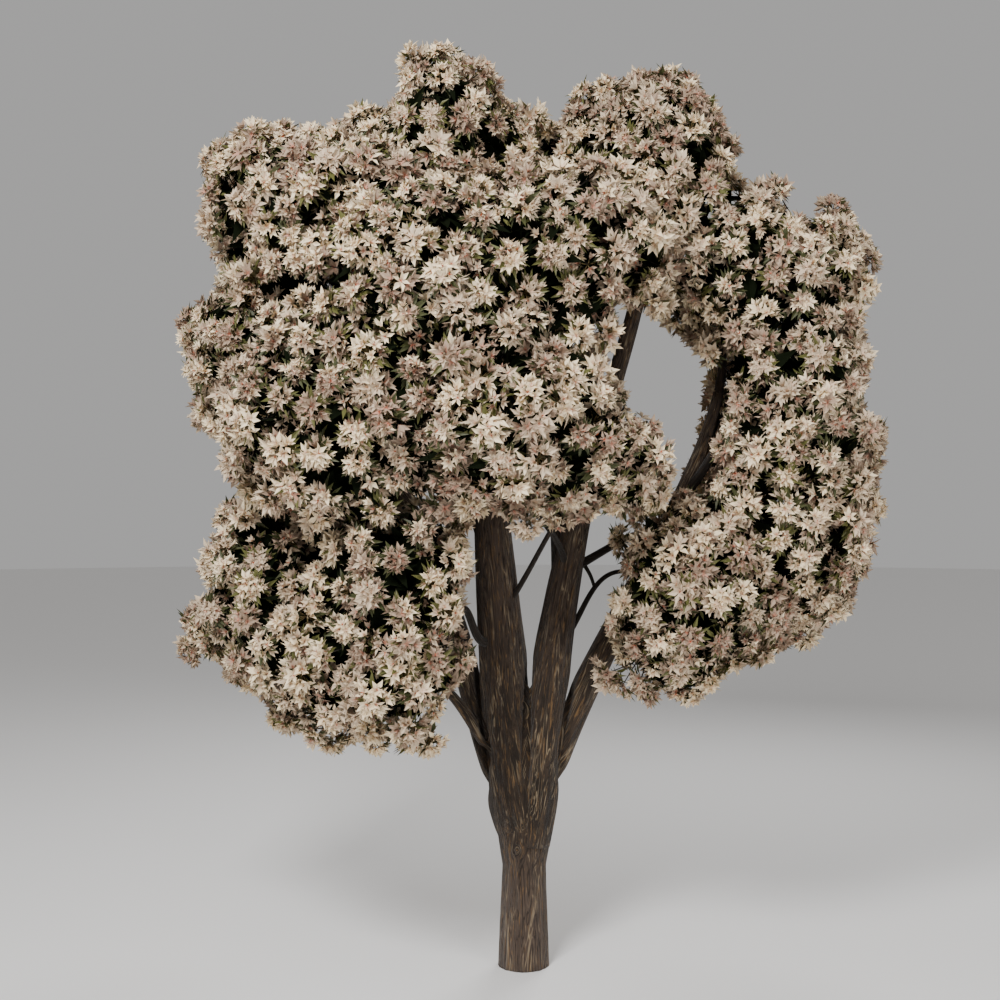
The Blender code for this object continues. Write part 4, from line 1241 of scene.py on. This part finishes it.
class CHERRY_OT_blossom(bpy.types.Operator):
    """Outer petals, inner petals and stamens of every flower, dealt out by tint"""
    bl_idname = "cherry.blossom"
    bl_label = "Blossom"

    def execute(self, context):
        sizes = context.scene.cherry_crown
        colours = context.scene.cherry_colours
        crown = plan_crown(sizes)
        rng = np.random.default_rng(SEED + 70)
        n = len(crown.flowers)
        cluster = crown.flower_cluster
        tint = rng.choice(3, len(crown.clusters), p=TINT_SHARES)[cluster]
        tint = np.where(rng.uniform(size=n) < OWN_TINT, rng.choice(3, n, p=TINT_SHARES), tint)
        seven = rng.uniform(size=n) < SEVEN_SHARE
        spin = rng.uniform(0.0, TAU, n)
        length = sizes.petal * swollen(PETAL_GROWTH, crown.swell[cluster])
        length = length * rng.uniform(*FLOWER_RANGE, n)
        # the further a flower leans from its cluster's own facing, the more it is closed
        lean = (crown.flower_facing * crown.facing[cluster]).sum(axis=1)
        loose = rng.uniform(*OPEN_RANGE, len(crown.clusters))[cluster]
        # flowers on a cluster's rim that lean away from its facing take the next darker tint:
        # painted shade
        rim = (lean < SHADED_RIM_LEAN) & (rng.uniform(size=n) < SHADED_RIM_SHARE)
        tint = np.where(rim, np.minimum(tint + 1, 2), tint)
        cup = loose + CLOSING * (1.0 - lean) + rng.normal(0.0, CUP_SPREAD, n)
        cup = np.clip(cup, 0.0, MOST_CUP)
        # the darker blush and rose pieces carry painted shade as well as pink
        tones = (("petals_ivory", colours.ivory), ("petals_blush_and_shade", colours.blush_and_shade),
                 ("petals_rose_and_shade", colours.rose_and_shade))
        first = True
        for k, (name, tone) in enumerate(tones):
            blocks = [
                flower_blades(crown.flowers[group], crown.flower_facing[group], spin[group],
                              count, length[group], sizes.petal_width, cup[group], rng)
                for count, group in ((6, (tint == k) & ~seven), (7, (tint == k) & seven))]
            petal = plain_material(name, tone, *PETAL_FINISH)
            for piece in self.in_pieces(name, join_blocks(blocks), petal, 2):
                if first:
                    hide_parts(*[mass.name for mass in MASSES])
                first = False

        def inner(name, material, group, turn, count, lengths, width, cups):
            """Pointed blades of one face each in the middle of the group's flowers."""
            middles = crown.flowers + crown.flower_facing * HEART_RISE
            block = flower_blades(middles[group], crown.flower_facing[group],
                                  spin[group] + turn, count, lengths, width, cups, rng,
                                  HEART_PROFILE, HEART_PATTERN)
            self.in_pieces(name, block, material, 1)

        for name, tone, group in (("hearts_peach", colours.peach, tint < 2),
                                  ("hearts_pink", colours.pink, tint == 2)):
            inner(name, plain_material(name, tone, *PETAL_FINISH), group, HEART_TURN, HEART_PETALS,
                  length[group] * HEART_SHARE, sizes.petal_width, cup[group] + HEART_CUP)
        eyed = rng.uniform(size=n) < EYED_SHARE
        every = np.ones(int(eyed.sum()))
        stamen = plain_material("stamen", colours.eye, STAMEN_ROUGHNESS)
        inner("stamens", stamen, eyed, 0.0, STAMENS, every * STAMEN_LENGTH, STAMEN_WIDTH,
              every * STAMEN_CUP)
        return {"FINISHED"}

    @staticmethod
    def in_pieces(name, block, material, each):
        """One piece, or several of like size where the block has too many faces; each is
        the number of faces of one blade."""
        points, faces = block
        parts = max(1, math.ceil(len(faces) / MOST_FACES))
        pieces = []
        for part, chunk in enumerate(np.array_split(faces.reshape(-1, each, 3), parts)):
            chunk = chunk.reshape(-1, 3)
            low = chunk.min()
            pieces.append(make_piece(f"{name}_{part + 1}", points[low:chunk.max() + 1],
                                     chunk - low, material, "blossom"))
        return pieces


# leaves: the share of light ones, (mean, spread) of how far they lean out, width to length,
# and how near to the crown's surface their tips may come; then the same for the inner ones
LIGHT_SHARE = 0.55
LEAF_GROWTH = 0.5
LEAF_LEAD = 0.70
LEAF_TILT = (1.45, 0.35)
LEAF_WIDTH = 0.32
LEAF_LIMIT = 0.04
LEAF_RANGE = (0.70, 1.30)
LEAF_ROLL = 0.25
# the inner leaves are near-black, a layer that paints the shade deep in the crown
INNER_TILT = (1.2, 0.5)
INNER_WIDTH = 0.40
INNER_LIMIT = -0.17
INNER_DEPTH = 0.03
INNER_ROOM = 0.14


class CHERRY_OT_leaves(bpy.types.Operator):
    """Narrow leaves round every cluster, and large near-black leaves along the twigs inside the
    crown, a layer of painted shade
    """
    bl_idname = "cherry.leaves"
    bl_label = "Leaves"

    def execute(self, context):
        sizes = context.scene.cherry_crown
        colours = context.scene.cherry_colours
        crown = plan_crown(sizes)
        rng = np.random.default_rng(SEED + 90)
        # the darker leaf pieces are painted shade
        light = rng.uniform(size=len(crown.clusters)) < LIGHT_SHARE
        for name, tone, group in (("leaves_light", colours.leaf_light, light),
                                  ("leaves_shaded", colours.leaf_shaded, ~light)):
            group = np.flatnonzero(group)
            count = np.where(crown.kinds[group] == 0, sizes.leaves, sizes.leaves // 3)
            pick = np.repeat(group, count)
            block = self.sprays(crown.clusters[pick], crown.facing[pick],
                                LEAF_LEAD * sizes.dome, LEAF_TILT,
                                sizes.leaf * swollen(LEAF_GROWTH, crown.swell[pick]), LEAF_WIDTH,
                                LEAF_LIMIT, rng)
            make_piece(name, *block, plain_material(name, tone, LEAF_ROUGHNESS), "blossom")
        starts = np.concatenate([bars[0] for bars in crown.twigs])
        ends = np.concatenate([bars[1] for bars in crown.twigs])
        pick = np.repeat(np.arange(len(starts)), sizes.inner_leaves // 2)
        part = rng.uniform(0.0, 1.0, len(pick))[:, None]
        roots = starts[pick] * (1 - part) + ends[pick] * part
        deep = crown_depths(roots)[0] < -sizes.sink - INNER_DEPTH
        roots, pick = roots[deep], pick[deep]
        block = self.sprays(roots, unit(ends[pick] - starts[pick]), 0.0, INNER_TILT,
                            np.full(len(roots), sizes.inner_leaf), INNER_WIDTH, INNER_LIMIT,
                            rng, INNER_ROOM)
        # near-black inner leaves: painted shade where the crown is deep
        inner = plain_material("leaves_inner_shade", colours.leaf_inner_shade, DEEP_ROUGHNESS, shine=0.0)
        make_piece("leaves_inner_shade", *block, inner, "blossom")
        return {"FINISHED"}

    @staticmethod
    def sprays(roots, facing, lead, tilt, length, width, limit, rng, margin=0.0):
        """Leaves leaning out from the facing by the tilt, each set off by the lead along
        its own way; those whose tips would leave the crown or close its openings go."""
        u, v = square_frames(facing)
        angle = rng.uniform(0.0, TAU, len(roots))
        lean = rng.normal(*tilt, len(roots))
        along = unit(turned(lean, facing, turned(angle, u, v)))
        across = unit(np.cross(facing, along) + rng.normal(0.0, LEAF_ROLL, along.shape))
        across = unit(across - along * (across * along).sum(1)[:, None])
        lift = np.cross(along, across)
        lengths = length * rng.uniform(*LEAF_RANGE, len(roots))
        roots = roots + along * lead
        tips = roots + along * lengths[:, None]
        pick = (crown_depths(tips)[0] < limit) & ~in_clearing(tips, margin)
        return blades(roots[pick], along[pick], across[pick], lift[pick], lengths[pick],
                      lengths[pick] * width, LEAF_PROFILE, BLADE_PATTERN)


# ---------------------------------------------------------------- stage
FLOOR_SIDES = 96
FLOOR_RADIUS = 60.0
FLOOR_DROP = 0.0008
# each lamp: its place, its aim, its share of the main light's power and its size
LAMPS = {
    "key": ((-3.4, -8.6, 9.4), (0.0, 0.0, 3.6), 0.99, 3.2),
    "fill": ((5.5, -8.5, 2.6), (0.0, 0.0, 2.6), 0.20, 4.0),
    "rim": ((3.0, 8.0, 9.0), (0.0, 0.0, 4.0), 0.35, 4.0),
}
SKY_COLOUR = (0.98, 0.97, 0.96, 1.0)
SENSOR_WIDTH = 36.0
CLIP_END = 300.0


def soft_light(name, place, aim, power, size):
    """Square area light at a place, turned to face its aim."""
    light = bpy.data.lights.new(name, "AREA")
    light.energy = power
    light.size = size
    lamp = add_object(name, light)
    lamp.location = place
    lamp.rotation_euler = (Vector(aim) - Vector(place)).to_track_quat("-Z", "Y").to_euler()


class CHERRY_OT_stage(bpy.types.Operator):
    """Plain pale floor, soft studio light and the camera"""
    bl_idname = "cherry.stage"
    bl_label = "Stage"

    def execute(self, context):
        stage = context.scene.cherry_stage
        scene = context.scene
        # a round floor: one ring of points on a circle, one face
        angles = np.arange(FLOOR_SIDES) * TAU / FLOOR_SIDES
        ring = np.stack((FLOOR_RADIUS * np.cos(angles), FLOOR_RADIUS * np.sin(angles),
                         np.full(FLOOR_SIDES, -FLOOR_DROP)), axis=1)
        mesh = bpy.data.meshes.new("floor")
        mesh.from_pydata(ring.tolist(), [], [tuple(range(FLOOR_SIDES))])
        mesh.materials.append(plain_material("floor", stage.floor_colour, FLOOR_ROUGHNESS))
        floor = add_object("floor", mesh)
        for name, (place, aim, share, size) in LAMPS.items():
            soft_light(name, place, aim, stage.key * share, size)
        world = bpy.data.worlds.new("studio")
        world.use_nodes = True
        sky = world.node_tree.nodes["Background"]
        sky.inputs["Color"].default_value = SKY_COLOUR
        sky.inputs["Strength"].default_value = stage.sky
        scene.world = world
        camera = bpy.data.cameras.new("camera")
        camera.lens = stage.lens
        camera.sensor_width = SENSOR_WIDTH
        camera.clip_end = CLIP_END
        eye = add_object("camera", camera)
        eye.location = (stage.side, -stage.distance, stage.height)
        eye.rotation_euler = (math.radians(90.0), 0.0, 0.0)
        scene.camera = eye
        return {"FINISHED"}


class CHERRY_PT_panel(bpy.types.Panel):
    """Lists the pieces of the cherry tree"""
    bl_label = "Cherry Blossom Tree"
    bl_idname = "CHERRY_PT_panel"
    bl_space_type = "VIEW_3D"
    bl_region_type = "UI"
    bl_category = "Cherry"

    def draw(self, context):
        for name in STEPS:
            self.layout.operator("cherry." + name)
        for group in ("cherry_wood", "cherry_crown", "cherry_colours", "cherry_stage"):
            settings = getattr(context.scene, group)
            box = self.layout.box()
            for prop in settings.bl_rna.properties:
                if prop.identifier not in ("name", "rna_type"):
                    box.prop(settings, prop.identifier)


STEPS = ("trunk", "boughs", "twigs", "blossom", "leaves", "stage")
GROUPS = {"cherry_wood": CherryWood, "cherry_crown": CherryCrown,
          "cherry_colours": CherryColours, "cherry_stage": CherryStage}
CLASSES = (*GROUPS.values(), CHERRY_OT_trunk, CHERRY_OT_boughs, CHERRY_OT_twigs, CHERRY_OT_blossom,
           CHERRY_OT_leaves, CHERRY_OT_stage, CHERRY_PT_panel)


def register():
    for cls in CLASSES:
        bpy.utils.register_class(cls)
    for name, group in GROUPS.items():
        setattr(bpy.types.Scene, name, bpy.props.PointerProperty(type=group))


def unregister():
    for name in GROUPS:
        delattr(bpy.types.Scene, name)
    for cls in reversed(CLASSES):
        bpy.utils.unregister_class(cls)


def main():
    register()
    for name in STEPS:
        getattr(bpy.ops.cherry, name)()
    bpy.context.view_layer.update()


if __name__ == "__main__":
    main()
